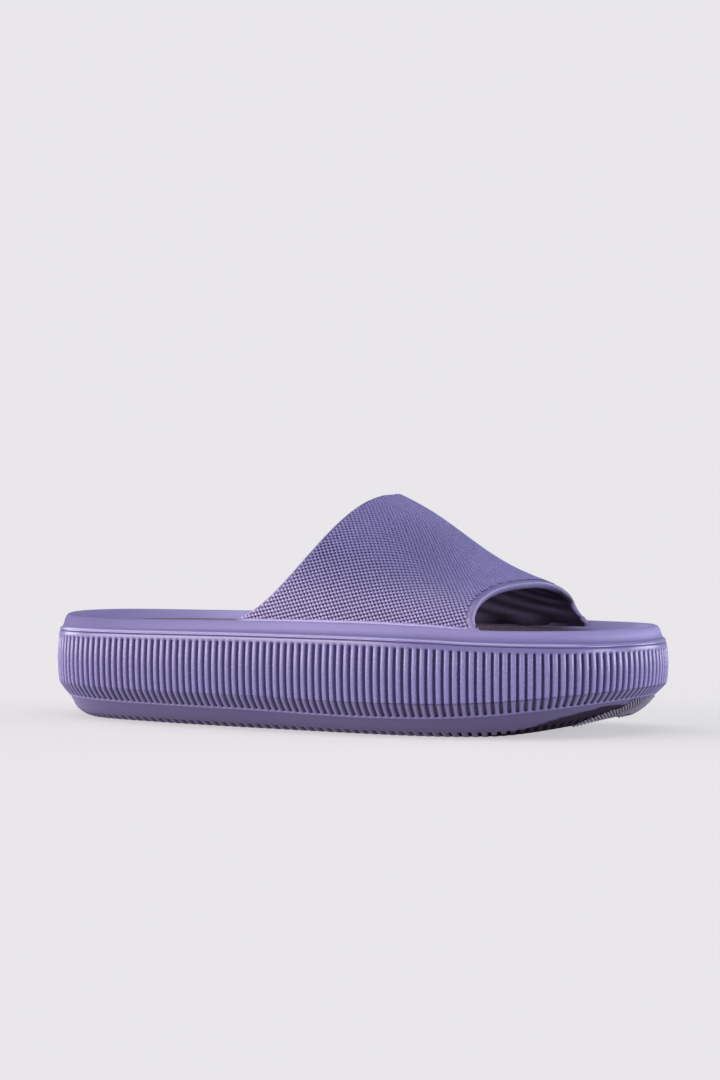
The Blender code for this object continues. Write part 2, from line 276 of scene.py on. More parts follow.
def runTree(piece, tree, values):
    # lets the tree work on the piece once, and keeps the result as a plain mesh
    modifier = piece.modifiers.new(tree.name, "NODES")
    modifier.node_group = tree
    for item in tree.interface.items_tree:
        if item.item_type == "SOCKET" and item.in_out == "INPUT" and item.name in values:
            modifier[item.identifier] = values[item.name]
    bpy.context.view_layer.update()
    graph = bpy.context.evaluated_depsgraph_get()
    made = bpy.data.meshes.new_from_object(
        piece.evaluated_get(graph), preserve_all_data_layers=True, depsgraph=graph)
    piece.modifiers.clear()
    old = piece.data
    piece.data = made
    bpy.data.meshes.remove(old)
    made.name = piece.name
    return piece


def closeTree(tree, end, geometry, material):
    smooth = addNode(tree, "GeometryNodeSetShadeSmooth", Geometry=geometry)
    solid = addNode(tree, "GeometryNodeRealizeInstances", Geometry=smooth)
    feed(tree, end["Geometry"], addNode(tree, "GeometryNodeSetMaterial", Geometry=solid, Material=material))


def keepValue(tree, geometry, name, value):
    return addNode(tree, "GeometryNodeStoreNamedAttribute", {"data_type": "FLOAT", "domain": "POINT"},
                   Geometry=geometry, Name=name, Value=value)


def namedValue(tree, name, kind="FLOAT"):
    node = addNode(tree, "GeometryNodeInputNamedAttribute", {"data_type": kind}, Name=name)
    return node.outputs["Attribute"]


# Grooves between the ribs, pressed into the side from the distance to each groove's middle line
def makeRibTree():
    tree, given, end = newTree("ribGrooves", "GeometryNodeTree", (
        ("Geometry", "Geometry", None),
        ("Groove Depth", "Float", 0.001),
        ("Groove Edge", "Float", 0.001),
        ("Groove Floor", "Float", 0.0),
        ("Rib Crown", "Float", 0.0),
        ("Rib Half", "Float", 0.001),
        ("Groove Shade", "Float", 1.0),
        ("Foam", "Material", None),
    ), (("Geometry", "Geometry"),))
    reach = namedValue(tree, "grooveReach")
    hollow = smoothShare(tree, reach, given["Groove Edge"], given["Groove Floor"])
    fall = calc(tree, "SUBTRACT", 1.0, calc(tree, "DIVIDE", reach, given["Rib Half"]))
    fall = calc(tree, "MAXIMUM", fall, 0.0)
    crown = calc(tree, "MULTIPLY", calc(tree, "MULTIPLY", fall, fall), given["Rib Crown"])
    press = calc(tree, "ADD", calc(tree, "MULTIPLY", hollow, given["Groove Depth"]), crown)
    inward = calcVector(tree, "SCALE", namedValue(tree, "inward", "FLOAT_VECTOR"), Scale=press)
    moved = addNode(tree, "GeometryNodeSetPosition", Geometry=given["Geometry"], Offset=inward)
    # painted shade in the grooves, deepest on their floors, or the ring's own painted shade where that is
    # darker
    shade = calc(tree, "MULTIPLY", hollow, given["Groove Shade"])
    shade = calc(tree, "MAXIMUM", shade, namedValue(tree, "shade"))
    closeTree(tree, end, keepValue(tree, moved, "hollow", shade), given["Foam"])
    return tree


# Small pillows on the points of a lattice: neighbours touch along their sides, with a pit at each corner
def makeLozengeTree():
    tree, given, end = newTree("lozengeSkin", "GeometryNodeTree", (
        ("Geometry", "Geometry", None),
        ("Lattice", "Object", None),
        ("Lozenge Length", "Float", 0.002),
        ("Lozenge Width", "Float", 0.002),
        ("Lozenge Height", "Float", 0.0004),
        ("Saddle", "Float", 0.5),
        ("Sink", "Float", 0.3),
        ("Pit Shade", "Float", 0.5),
        ("Worn", "Float", 0.0),
        ("Foam", "Material", None),
    ), (("Geometry", "Geometry"),))
    # an eight-sided cone pulled into a rhombus, its sides lifted to the saddle between two pillows
    cone = addNode(tree, "GeometryNodeMeshCone", {"fill_type": "TRIANGLE_FAN"}, Vertices=8,
                   Radius_Top=0.0, Radius_Bottom=1.0, Depth=1.0)
    place = addNode(tree, "GeometryNodeInputPosition")
    parts = addNode(tree, "ShaderNodeSeparateXYZ", Vector=place).outputs
    wide, deep = calc(tree, "ABSOLUTE", parts["X"]), calc(tree, "ABSOLUTE", parts["Y"])
    reach = calc(tree, "ADD", wide, deep)
    ring = calc(tree, "MINIMUM", reach, 1.0)
    pull = calc(tree, "DIVIDE", 1.0, calc(tree, "MAXIMUM", reach, 0.5))     # reach is 0 at the tip
    corner = calc(tree, "MULTIPLY", calc(tree, "ABSOLUTE", calc(tree, "SUBTRACT", wide, deep)), pull)
    side = calc(tree, "MULTIPLY", ring, calc(tree, "SUBTRACT", 1.0, corner))
    lift = calc(tree, "MULTIPLY", side, given["Saddle"])
    under = calc(tree, "SUBTRACT", 1.0, parts["Z"])
    under = calc(tree, "MULTIPLY", calc(tree, "SUBTRACT", 1.0, ring), under)
    sink = calc(tree, "MULTIPLY", under, given["Sink"])
    height = calc(tree, "SUBTRACT", calc(tree, "ADD", parts["Z"], lift), sink)
    shape = addNode(tree, "ShaderNodeCombineXYZ", None, calc(tree, "MULTIPLY", parts["X"], pull),
                    calc(tree, "MULTIPLY", parts["Y"], pull), height)
    # painted shade in the pits at each pillow's corners
    pit = calc(tree, "MULTIPLY", calc(tree, "MULTIPLY", ring, corner), given["Pit Shade"])
    shaded = keepValue(tree, cone, "hollow", pit)
    worn = keepValue(tree, shaded, "worn", given["Worn"])
    pillow = addNode(tree, "GeometryNodeSetPosition", Geometry=worn, Position=shape)
    half = addNode(tree, "ShaderNodeCombineXYZ", None, calc(tree, "MULTIPLY", given["Lozenge Length"], 0.5),
                   calc(tree, "MULTIPLY", given["Lozenge Width"], 0.5), given["Lozenge Height"])
    lozenge = addNode(tree, "GeometryNodeTransform", Geometry=pillow, Scale=half)
    lattice = addNode(tree, "GeometryNodeObjectInfo", Object=given["Lattice"]).outputs["Geometry"]
    turn = addNode(tree, "FunctionNodeAxesToRotation", {"primary_axis": "Z", "secondary_axis": "X"},
                   Primary_Axis=namedValue(tree, "latticeUp", "FLOAT_VECTOR"),
                   Secondary_Axis=namedValue(tree, "latticeAlong", "FLOAT_VECTOR"))
    studs = addNode(tree, "GeometryNodeInstanceOnPoints", Points=lattice, Instance=lozenge, Rotation=turn)
    whole = addNode(tree, "GeometryNodeJoinGeometry", Geometry=studs)
    feed(tree, whole.inputs["Geometry"], given["Geometry"])
    closeTree(tree, end, whole, given["Foam"])
    return tree


# Shader groups, and what all foams share; grain heights are in m
foamBase = {
    "wornTone": (0.200, 0.180, 0.250),
    "gather": 1.0,
    "ior": 1.48,
}
foamNoise = {
    "cloud": {"Scale": 38.0, "Detail": 3.0, "Roughness": 0.55},
    "speck": {"Scale": 900.0, "Detail": 2.0, "Roughness": 0.6},
    "grain": {"Detail": 3.0, "Roughness": 0.6},
    "speckTone": 0.3,           # how much the specks change the colour, against the clouds
    "speckRough": 0.08,         # and the roughness
    "pebbleScale": 0.6,         # of the pebbles, against the grain's
    "specular": 0.5,
}


def blend(tree, kind, share, first, second):
    mix = addNode(tree, "ShaderNodeMix", {"data_type": "RGBA" if kind == "Color" else "FLOAT"})
    sockets = {socket.identifier: socket for socket in mix.inputs}
    for label, value in (("Factor_Float", share), ("A_" + kind, first), ("B_" + kind, second)):
        feed(tree, sockets[label], value)
    return {socket.identifier: socket for socket in mix.outputs}["Result_" + kind]


def makeToneGroup():
    # foam colour that drifts a little, and takes on painted shade in the hollows and other shaded places,
    # which also dims its specular
    tree, given, end = newTree("foamTone", "ShaderNodeTree", (
        ("Tone", "Color", (0.2, 0.2, 0.4, 1)),
        ("High Tone", "Color", (0.2, 0.2, 0.4, 1)),
        ("High", "Float", 0.0),
        ("Hollow Tone", "Color", (0.1, 0.1, 0.2, 1)),
        ("Worn Tone", "Color", (0.2, 0.2, 0.25, 1)),
        ("Hollow", "Float", 0.0),
        ("Gather", "Float", 1.0),
        ("Worn", "Float", 0.0),
        ("Drift", "Float", 0.06),
        ("Roughness", "Float", 0.5),
        ("Rib Roughness", "Float", 0.3),
        ("Gloss", "Float", 0.0),
    ), (("Color", "Color"), ("Roughness", "Float"), ("Specular", "Float")))
    place = addNode(tree, "ShaderNodeTexCoord").outputs["Object"]
    cloud = addNode(tree, "ShaderNodeTexNoise", Vector=place, **foamNoise["cloud"])
    speck = addNode(tree, "ShaderNodeTexNoise", Vector=place, **foamNoise["speck"])
    speck = calc(tree, "SUBTRACT", speck, 0.5)
    drift = calc(tree, "ADD", calc(tree, "SUBTRACT", cloud, 0.5),
                 calc(tree, "MULTIPLY", speck, foamNoise["speckTone"]))
    swing = calc(tree, "MULTIPLY", given["Drift"], 2.0)
    gain = calc(tree, "ADD", 1.0, calc(tree, "MULTIPLY", drift, swing))
    body = blend(tree, "Color", given["High"], given["Tone"], given["High Tone"])
    worn = blend(tree, "Color", given["Worn"], body, given["Worn Tone"])
    # painted shade: the hollow value mixes in the shade tone and takes away specular
    deep = calc(tree, "POWER", given["Hollow"], given["Gather"])
    tone = blend(tree, "Color", deep, worn, given["Hollow Tone"])
    feed(tree, end["Color"], calcVector(tree, "SCALE", tone, Scale=gain))
    change = calc(tree, "SUBTRACT", given["Rib Roughness"], given["Roughness"])
    rough = calc(tree, "ADD", given["Roughness"], calc(tree, "MULTIPLY", given["Gloss"], change))
    rough = calc(tree, "ADD", rough, calc(tree, "MULTIPLY", speck, foamNoise["speckRough"]))
    feed(tree, end["Roughness"], rough)
    bright = calc(tree, "MAXIMUM", calc(tree, "SUBTRACT", given["Gloss"], 1.0), 0.0)
    bright = calc(tree, "ADD", foamNoise["specular"], bright)
    feed(tree, end["Specular"], calc(tree, "MULTIPLY", calc(tree, "SUBTRACT", 1.0, deep), bright))
    return tree


def makeHeightGroup():
    # 0 below one height over the ground, 1 above another, with a lean along the length
    tree, given, end = newTree("heightMask", "ShaderNodeTree", (
        ("Low", "Float", 0.0),
        ("High", "Float", 0.1),
        ("Lean", "Float", 0.0),
    ), (("Value", "Float"),))
    place = addNode(tree, "ShaderNodeTexCoord").outputs["Object"]
    parts = addNode(tree, "ShaderNodeSeparateXYZ", Vector=place).outputs
    height = calc(tree, "ADD", parts["Z"], calc(tree, "MULTIPLY", parts["X"], given["Lean"]))
    feed(tree, end["Value"], smoothShare(tree, height, given["Low"], given["High"]))
    return tree


def makeGrainGroup():
    # the faint pebbled skin of moulded foam
    tree, given, end = newTree("foamGrain", "ShaderNodeTree", (
        ("Grain Scale", "Float", 1600.0),
        ("Grain Height", "Float", 0.00004),
        ("Pebble Mix", "Float", 0.5),
    ), (("Normal", "Vector"),))
    place = addNode(tree, "ShaderNodeTexCoord").outputs["Object"]
    fine = addNode(tree, "ShaderNodeTexNoise", Vector=place, Scale=given["Grain Scale"], **foamNoise["grain"])
    pebble = addNode(tree, "ShaderNodeTexVoronoi", {"feature": "SMOOTH_F1"}, Vector=place,
                     Scale=calc(tree, "MULTIPLY", given["Grain Scale"], foamNoise["pebbleScale"]))
    height = blend(tree, "Float", given["Pebble Mix"], fine, pebble.outputs["Distance"])
    bump = addNode(tree, "ShaderNodeBump", Strength=1.0, Distance=given["Grain Height"], Height=height)
    feed(tree, end["Normal"], bump)
    return tree


toneGroup = makeToneGroup()
grainGroup = makeGrainGroup()
heightGroup = makeHeightGroup()


def makeFoam(name, look):
    material = bpy.data.materials.new(name)
    material.use_nodes = True
    tree = material.node_tree
    shader = tree.nodes["Principled BSDF"]
    # hollow carries the painted shade, worn the wear and gloss the glossier parts
    hollow, worn, gloss = (addNode(tree, "ShaderNodeAttribute", {"attribute_name": label}).outputs["Fac"]
                           for label in ("hollow", "worn", "gloss"))
    tone = addNode(tree, "ShaderNodeGroup", {"node_tree": toneGroup}, Hollow=hollow, Worn=worn, Gloss=gloss,
                   Tone=(*look["tone"], 1), Hollow_Tone=(*look["paintedShadeTone"], 1),
                   Worn_Tone=(*look["wornTone"], 1), Gather=look["gather"], Drift=look["drift"],
                   Roughness=look["roughness"], Rib_Roughness=look["ribRoughness"])
    # painted light: the look's tone below a height, its high tone above it, as if the lower part were lit
    if "highTone" in look:
        low, high = look["paintedLightTurn"]
        mask = addNode(tree, "ShaderNodeGroup", {"node_tree": heightGroup}, Low=low * mm, High=high * mm,
                       Lean=look["paintedLightLean"])
        feed(tree, tone.inputs["High Tone"], (*look["highTone"], 1))
        feed(tree, tone.inputs["High"], mask)
    grain = addNode(tree, "ShaderNodeGroup", {"node_tree": grainGroup}, Grain_Scale=look["grainScale"],
                    Grain_Height=look["grainHeight"], Pebble_Mix=look["pebble"])
    looks = {"Base Color": tone, "Roughness": tone.outputs["Roughness"], "Normal": grain, "IOR": look["ior"],
             "Specular IOR Level": tone.outputs["Specular"]}
    for label, value in looks.items():
        feed(tree, shader.inputs[label], value)
    return material


def makeLattice(name, points, ups, alongs):
    return showMesh(name, plainMesh(name, points, [], {"latticeUp": ups, "latticeAlong": alongs}))


def staggered(low, high, sizes):
    # spots in staggered rows over a rectangle
    spots = []
    for row, y in enumerate(np.arange(low[1], high[1], sizes["pitchAcross"] / 2)):
        start = low[0] + (row % 2) * sizes["pitchAlong"] / 2
        spots += [(x, y) for x in np.arange(start, high[0], sizes["pitchAlong"])]
    return np.array(spots)


def dressWithLozenges(piece, lattice, sizes, foam):
    runTree(piece, lozengeTree, {
        "Lattice": lattice,
        "Lozenge Length": sizes["pitchAlong"] * mm,
        "Lozenge Width": sizes["pitchAcross"] * mm,
        "Lozenge Height": sizes["lozengeHeight"] * mm,
        "Saddle": sizes["saddle"],
        "Pit Shade": sizes["pitShade"],
        "Worn": sizes["worn"],
        "Foam": foam,
    })
    bpy.data.objects.remove(lattice)
    return piece


ribTree = makeRibTree()
lozengeTree = makeLozengeTree()
print("node trees ready")

# Midsole: ribbed wall, ledge and rim, with a recess for the footbed
midsole = {
    "ribCount": 200,
    # one rib's columns, as shares of its pitch from the middle of the groove
    "ribColumns": (-0.5, -0.38, -0.3, -0.25, -0.2, -0.12, 0.0, 0.12, 0.2, 0.25, 0.3, 0.38),
    "plainColumns": 400,
    "grooveDepth": 0.75,
    "grooveEdge": 0.84,
    "grooveFloor": 0.34,
    "ribCrown": 0.85,
    "grooveShade": 1.0,
    "grooveTop": 4.1,           # middle of the groove's round end, under the ledge
    # inset of the wall behind its widest level, by share of the height from parting line to ledge
    "wallShares": (0.0, 0.06, 0.2, 0.45, 0.85, 0.92, 1.0),
    "wallInsets": (0.75, 0.5, 0.18, 0.0, 0.6, 0.8, 1.05),
    "wallRows": (0.03, 0.12, 0.24, 0.36, 0.48, 0.6, 0.72, 0.84, 0.96),     # parting line to groove end
    "endRows": (0.0, 0.18, 0.36, 0.54, 0.72, 0.95, 1.25, 1.55),     # over the middle of the groove's end
    "flange": 3.0,              # inset of the plain ring behind the parting line
    "edgeRound": 0.12,
    # lip under the ledge, with a fine groove below it: inset, and height over the ledge
    "lip": ((0.94, -1.8), (1.0, -1.62), (1.42, -1.52), (1.48, -1.34), (1.12, -1.22), (0.95, -1.12),
            (0.92, -1.0), (0.98, -0.82), (1.26, -0.48), (1.56, -0.16), (1.75, -0.03)),
    # painted shade on each lip row, darkest in the fine groove
    "lipShades": (0.4, 0.5, 1.0, 1.0, 0.8, 0.5, 0.2, 0.0, 0.0, 0.0, 0.0),
    "lipGloss": 1.35,
    "bandShade": 0.38,          # painted shade on the plain band between groove ends and lip
    "bandTurn": (0.0, 0.95),
    "rimShade": 0.95,           # painted shade on the rim's outer side at the heel
    "rimFade": 0.5,             # share of the length by which that shade is gone
    "rimTurn": (5.6, 7.6),      # insets between which it ends
    "cornerShade": 0.75,        # painted shade in the corner between ledge and rim
    "cornerTurn": (2.35, 3.1),
    # section of the rim: inset, and share of the rim's height
    "rimInsets": (1.9, 2.3, 2.7, 3.2, 4.4, 6.0, 7.8, 9.0, 10.5, 12.0),
    "rimRises": (0.0, 0.07, 0.25, 0.58, 0.92, 1.0, 0.96, 0.72, 0.43, 0.26),
    "rimSteps": (2.05, 2.35, 2.55, 2.7, 2.8, 2.9, 3.0, 3.1, 3.2, 3.4, 3.7, 4.0, 4.4, 4.9, 5.4, 6.0, 6.6, 7.2,
                 7.6, 7.8, 8.0, 8.3, 8.6, 9.0, 9.5, 10.0, 10.5, 11.2, 12.0),
    "recessInset": 12.0,
    "recessDepth": 7.0,
    "foam": {
        **foamBase,
        "tone": (0.195, 0.168, 0.372),
        "paintedShadeTone": (0.100, 0.084, 0.205),
        "drift": 0.05,
        "roughness": 0.58,
        "ribRoughness": 0.27,
        "grainScale": 1500.0,
        "grainHeight": 0.000006,
        "pebble": 0.4,
    },
}


def ribShares():
    columns = np.array(midsole["ribColumns"])
    ribs = np.arange(midsole["ribCount"])[:, None] + 0.5
    return ((ribs + columns) / midsole["ribCount"]).ravel()


def ribAcross():
    # distance of each ribbed column from the middle of its groove
    run = np.linalg.norm(np.diff(np.vstack([outline, outline[:1]]), axis=0), axis=1)
    halves = run[:toeIndex].sum(), run[toeIndex:].sum()
    pitch = np.where(ribShares() < 0.5, *halves) / (midsole["ribCount"] / 2)
    return np.abs(np.tile(midsole["ribColumns"], midsole["ribCount"])) * pitch


ribbed = ribShares()
across = ribAcross()
plain = np.arange(midsole["plainColumns"]) / midsole["plainColumns"]
farOff = 10.0       # beyond the reach of every groove


class Loft:
    # a stack of rings with the values that the grooves read
    def __init__(self):
        self.points, self.faces, self.reach, self.inward = [], [], [], []
        self.shade, self.gloss = [], []
        self.lastRing = None
        self.count = 0

    def put(self, points, inward, reach, shade, gloss):
        first = self.count
        self.count += len(points)
        self.points.append(points)
        self.inward.append(inward)
        for values, value in ((self.reach, reach), (self.shade, shade), (self.gloss, gloss)):
            values.append(np.broadcast_to(value, len(points)))
        return first

    def add(self, shares, points, reach=None, shade=0.0, gloss=None):
        # the next ring of the stack; a ring with a reach belongs to the ribs and is glossy
        if gloss is None:
            gloss = float(reach is not None)
        inward = np.column_stack([-wallAt(shares)[1], np.zeros(len(shares))])
        first = self.put(points, inward, farOff if reach is None else reach, shade, gloss)
        if self.lastRing:
            self.faces += ringFaces(*self.lastRing, first, shares)
        self.lastRing = (first, shares)
        return first

    def mesh(self, name):
        return plainMesh(name, np.vstack(self.points), self.faces, {
            "grooveReach": np.concatenate(self.reach) * mm,
            "inward": np.vstack(self.inward),
            "shade": np.concatenate(self.shade),
            "gloss": np.concatenate(self.gloss),
        })


def rimHeight(inset, x):
    rise = smoothRead(inset, midsole["rimInsets"], midsole["rimRises"])
    return level("ledge", x) + level("rim", x) * rise


def pressRibs(piece, foam, grooveShade):
    m = midsole
    return runTree(piece, ribTree, {
        "Groove Depth": m["grooveDepth"] * mm,
        "Groove Edge": m["grooveEdge"] * mm,
        "Groove Floor": m["grooveFloor"] * mm,
        "Rib Crown": m["ribCrown"] * mm,
        "Rib Half": across.max() * mm,
        "Groove Shade": grooveShade,
        "Foam": foam,
    })


def wallRow(share):
    # height of a row of the wall between the parting line and the grooves' upper ends
    drop = midsole["grooveTop"]
    return lambda x: level("parting", x) + (level("ledge", x) - drop - level("parting", x)) * share


def makeMidsole():
    m = midsole
    loft = Loft()
    seam = seamSide(1)
    first = loft.add(plain, ringAt(plain, m["flange"], seam))
    loft.faces += ladder(first, len(plain))
    loft.add(ribbed, ringAt(ribbed, m["wallInsets"][0] + m["edgeRound"], seam), across)
    loft.add(ribbed, ringAt(ribbed, m["wallInsets"][0], seamSide(1, m["edgeRound"])), across)
    grooveTop = over("ledge", -m["grooveTop"])
    heights = [wallRow(share) for share in m["wallRows"]]
    heights += [over("ledge", step - m["grooveTop"]) for step in m["endRows"]]
    x = wallAt(ribbed)[0][:, 0]
    for height in heights:
        share = (height(x) - level("parting", x)) / (level("ledge", x) - level("parting", x))
        points = ringAt(ribbed, smoothRead(share, m["wallShares"], m["wallInsets"]), height)
        # painted shade on the band over the grooves' ends
        above = np.maximum(points[:, 2] - grooveTop(points[:, 0]), 0)
        band = np.interp(above, m["bandTurn"], (0, m["bandShade"]))
        loft.add(ribbed, points, np.hypot(across, above), shade=band)
    for (inset, drop), shade in zip(m["lip"], m["lipShades"]):
        loft.add(plain, ringAt(plain, inset, over("ledge", drop)), shade=shade, gloss=m["lipGloss"])
    for inset in m["rimSteps"]:
        points = ringAt(plain, inset, lambda x: rimHeight(inset, x))
        # painted shade on the rim's outer side at the heel, then the painted shade in the corner over the
        # ledge
        along = (points[:, 0] - heelX) / last["length"]
        shades = m["rimShade"] * np.clip(1 - along / m["rimFade"], 0, 1)
        shades *= np.interp(inset, m["rimTurn"], (1, 0))
        shades = np.maximum(shades, np.interp(inset, m["cornerTurn"], (m["cornerShade"], 0)))
        loft.add(plain, points, shade=shades)
    first = loft.add(plain, ringAt(plain, m["recessInset"], over("ledge", -m["recessDepth"])))
    loft.faces += ladder(first, len(plain))
    piece = showMesh("midsoleFoam", loft.mesh("midsoleFoam"))
    return pressRibs(piece, makeFoam("midsoleFoam", m["foam"]), m["grooveShade"])


midsolePiece = makeMidsole()
print("midsole:", len(midsolePiece.data.polygons), "faces")

# Outsole: the ribs run on down its chamfer, over a smooth band, a row of teeth and a cross-cut tread
outsole = {
    "chamferInsets": (0.75, 4.8),
    "chamferRound": 1.3,
    # painted shade in the chamfer's grooves, and on the tread underneath
    "grooveShade": 0.72,
    "treadShade": 0.5,
    "chamferSteps": (1.0, 0.95, 0.9, 0.85, 0.80, 0.74, 0.6, 0.4, 0.2, 0.03),     # shares, the top being 0
    "grooveWiden": 0.26,        # how much wider the grooves are there
    "widenBy": 0.3,             # share of the chamfer by which they are
    "grooveEnd": 0.84,          # middle of the groove's round end, as a share of the chamfer
    # section of the band: inset, and share of the height from ground to rib end
    "bandShares": (0.0, 0.10, 0.44, 0.87, 1.0),
    "bandInsets": (14.0, 11.6, 7.8, 5.8, 5.0),
    "bandSteps": (0.0, 0.03, 0.07, 0.11, 0.15, 0.20, 0.26, 0.33, 0.41, 0.5, 0.59, 0.68, 0.77, 0.87, 0.95),
    # teeth round the edge: how many, and one tooth's columns as shares of its pitch from the notch
    "toothCount": 156,
    "toothColumns": (-0.5, -0.26, -0.19, 0.19, 0.26),
    "notchOpen": (0.0, 0.0, 1.0, 1.0, 0.0),
    "notchDepth": 1.45,
    "notchLean": (0.6, 0.8),    # inward and upward
    "notchFade": 0.5,
    "notchTop": 1.85,
    "heelNotchTop": 3.7,
    "heelAway": (0.035, 0.06),  # share of the way round from the heel, over which the notches grow lower
    # painted shade on the underside where the sole turns up, for its shadow: share of the way round from the
    # toe, and of the band's height
    "darkAway": (0.015, 0.025, 0.04, 0.05, 0.06, 0.08, 0.105, 0.13, 0.145, 0.16),
    "darkTops": (0.0, 0.5, 0.72, 0.75, 0.68, 0.58, 0.3, 0.12, 0.05, 0.0),
    "darkFade": 0.12,
    # share of the way round from the heel, and the band's painted shade
    "bandAway": (0.0, 0.03, 0.08, 0.14),
    "bandShades": (0.15, 0.18, 0.45, 0.52),
    "landInsets": (15.6, 15.9),     # plain land between the teeth and the tread
    "treadInset": 17.0,
    "treadSamples": 4001,
    "crossSamples": 8001,
    "treadStart": 20.0,
    "treadEnds": 38.0,          # length without grooves, heel and toe together
    "treadPitch": 4.3,
    "wide": {"half": 1.1, "depth": 1.6},
    "narrow": {"half": 0.7, "depth": 1.0},
    "wallRun": 0.15,            # half the run of a groove's sloped wall
    "lineCount": 26,            # lines that run along the sole between the grooves
    "lineSteps": 4,             # columns of the tread from one line to the next
    "lineDepth": 0.55,
    # plain pads: along from the heel, across from its axis, half length, half width
    "pads": ((48.0, 0.0, 17.0, 15.0), (172.0, -7.0, 22.0, 24.0)),
    "padSlope": 12.0,
    "endStep": 0.03,            # first of the growing steps at the ends
    "endCount": 11,
    "leastStep": 0.012,
    # hatch of small lozenges where the sole turns up: share of the way round from the toe, and of the
    # band's height
    "hatch": {
        "toeAway": (0.0, 0.02, 0.025, 0.03, 0.04, 0.06, 0.07),
        "toeTops": (0.95, 0.92, 0.5, 0.36, 0.3, 0.12, 0.0),
        "pitchAlong": 1.9,
        "pitchAcross": 1.5,
        "alongSamples": 801,
        "alongRise": 0.3,       # where the pitch along is true
        "acrossSamples": 121,
        "probe": 0.0005,
        "lozengeHeight": 0.85,
        "saddle": 0.1,
        "pitShade": 0.9,
        "worn": 1.0,
    },
    "foam": {
        **foamBase,
        "tone": (0.160, 0.135, 0.305),
        "paintedShadeTone": (0.024, 0.019, 0.032),
        "drift": 0.06,
        "roughness": 0.50,
        "ribRoughness": 0.32,
        "grainScale": 1300.0,
        "grainHeight": 0.00004,
        "pebble": 0.5,
    },
}


def treadGrooves():
    # middle of each groove along the sole, and whether it is a wide one
    o = outsole
    steps = np.arange(0, int((last["length"] - o["treadEnds"]) / o["treadPitch"]))
    return heelX + o["treadStart"] + steps * o["treadPitch"], steps % 2 == 0


def grooveDepthAt(x):
    o = outsole
    middles, wide = treadGrooves()
    near = np.abs(x[:, None] - middles[None, :])
    k = near.argmin(axis=1)
    half = np.where(wide[k], o["wide"]["half"], o["narrow"]["half"])
    depth = np.where(wide[k], o["wide"]["depth"], o["narrow"]["depth"])
    off = near[np.arange(len(x)), k]
    return depth * np.clip((half + o["wallRun"] - off) / (2 * o["wallRun"]), 0, 1)


def padMask(x, y):
    # 0 inside a pad, 1 outside
    mask = np.ones(len(x))
    for along, aside, halfLength, halfWidth in outsole["pads"]:
        reach = np.hypot((x - heelX - along) / halfLength, (y + frameCentre[1] - aside) / halfWidth)
        mask *= np.clip((reach - 1) * outsole["padSlope"], 0, 1)
    return mask


def treadStations(low, high):
    # places along the sole: both walls of every groove, the lands between, and closer steps at the ends
    o = outsole
    middles, wide = treadGrooves()
    places = []
    for middle, isWide in zip(middles, wide):
        half = (o["wide"] if isWide else o["narrow"])["half"]
        for off in (-half - o["wallRun"], -half + o["wallRun"], half - o["wallRun"], half + o["wallRun"]):
            places.append(middle + off)
        places.append(middle + o["treadPitch"] / 2)
    near = np.arange(1, o["endCount"] + 1) ** 2 * o["endStep"]
    places += list(low + near) + list(high - near)
    places = np.array(sorted(p for p in places if low + o["endStep"] / 2 < p < high - o["endStep"] / 2))
    return places[np.concatenate([[True], np.diff(places) > o["leastStep"]])]


def sharesAtStations(places, inset):
    # where the inset outline passes each place, on the lateral and on the medial side
    shares = np.linspace(0, 1, outsole["crossSamples"])
    x = ringAt(shares, inset, over("ground"))[:, 0]
    half = len(shares) // 2
    lateral = np.interp(places, np.maximum.accumulate(x[:half + 1]), shares[:half + 1])
    medial = np.interp(places, np.maximum.accumulate(x[half:][::-1]), shares[half:][::-1])
    return lateral, medial


def bandPoints(shares, rise):
    # the smooth band: rise is 0 at the ground and 1 at the ribs' lower end
    inset = smoothRead(rise, outsole["bandShares"], outsole["bandInsets"])
    return ringAt(shares, inset, between("ground", "ribEnd", rise))


def fromHeel(shares):
    # share of the way round from the heel, by the shorter way
    return np.minimum(shares % 1, 1 - shares % 1)


def cutNotches(points, shares, notch):
    # presses the teeth's notches up and in; hands back the points and how dark each is, as painted shade in
    # the notches
    o = outsole
    lift = points[:, 2] - level("ground", points[:, 0])
    top = np.interp(fromHeel(shares), o["heelAway"], (o["heelNotchTop"], o["notchTop"]))
    cut = notch * np.clip((top - lift) / o["notchFade"], 0, 1)
    inward, upward = o["notchLean"]
    lean = np.column_stack([-wallAt(shares)[1] * inward, np.full(len(shares), upward)])
    return points + lean * (cut * o["notchDepth"])[:, None], cut


def paintedShadeUnder(shares, rise):
    # painted shade on the band: towards its lower edge on both sides of the toe, and away from the heel
    o = outsole
    top = smoothRead(np.abs(shares - 0.5), o["darkAway"], o["darkTops"])
    dark = np.clip((top - rise) / o["darkFade"] + 0.5, 0, 1) * (top > 0)
    return np.maximum(dark, smoothRead(fromHeel(shares), o["bandAway"], o["bandShades"]))


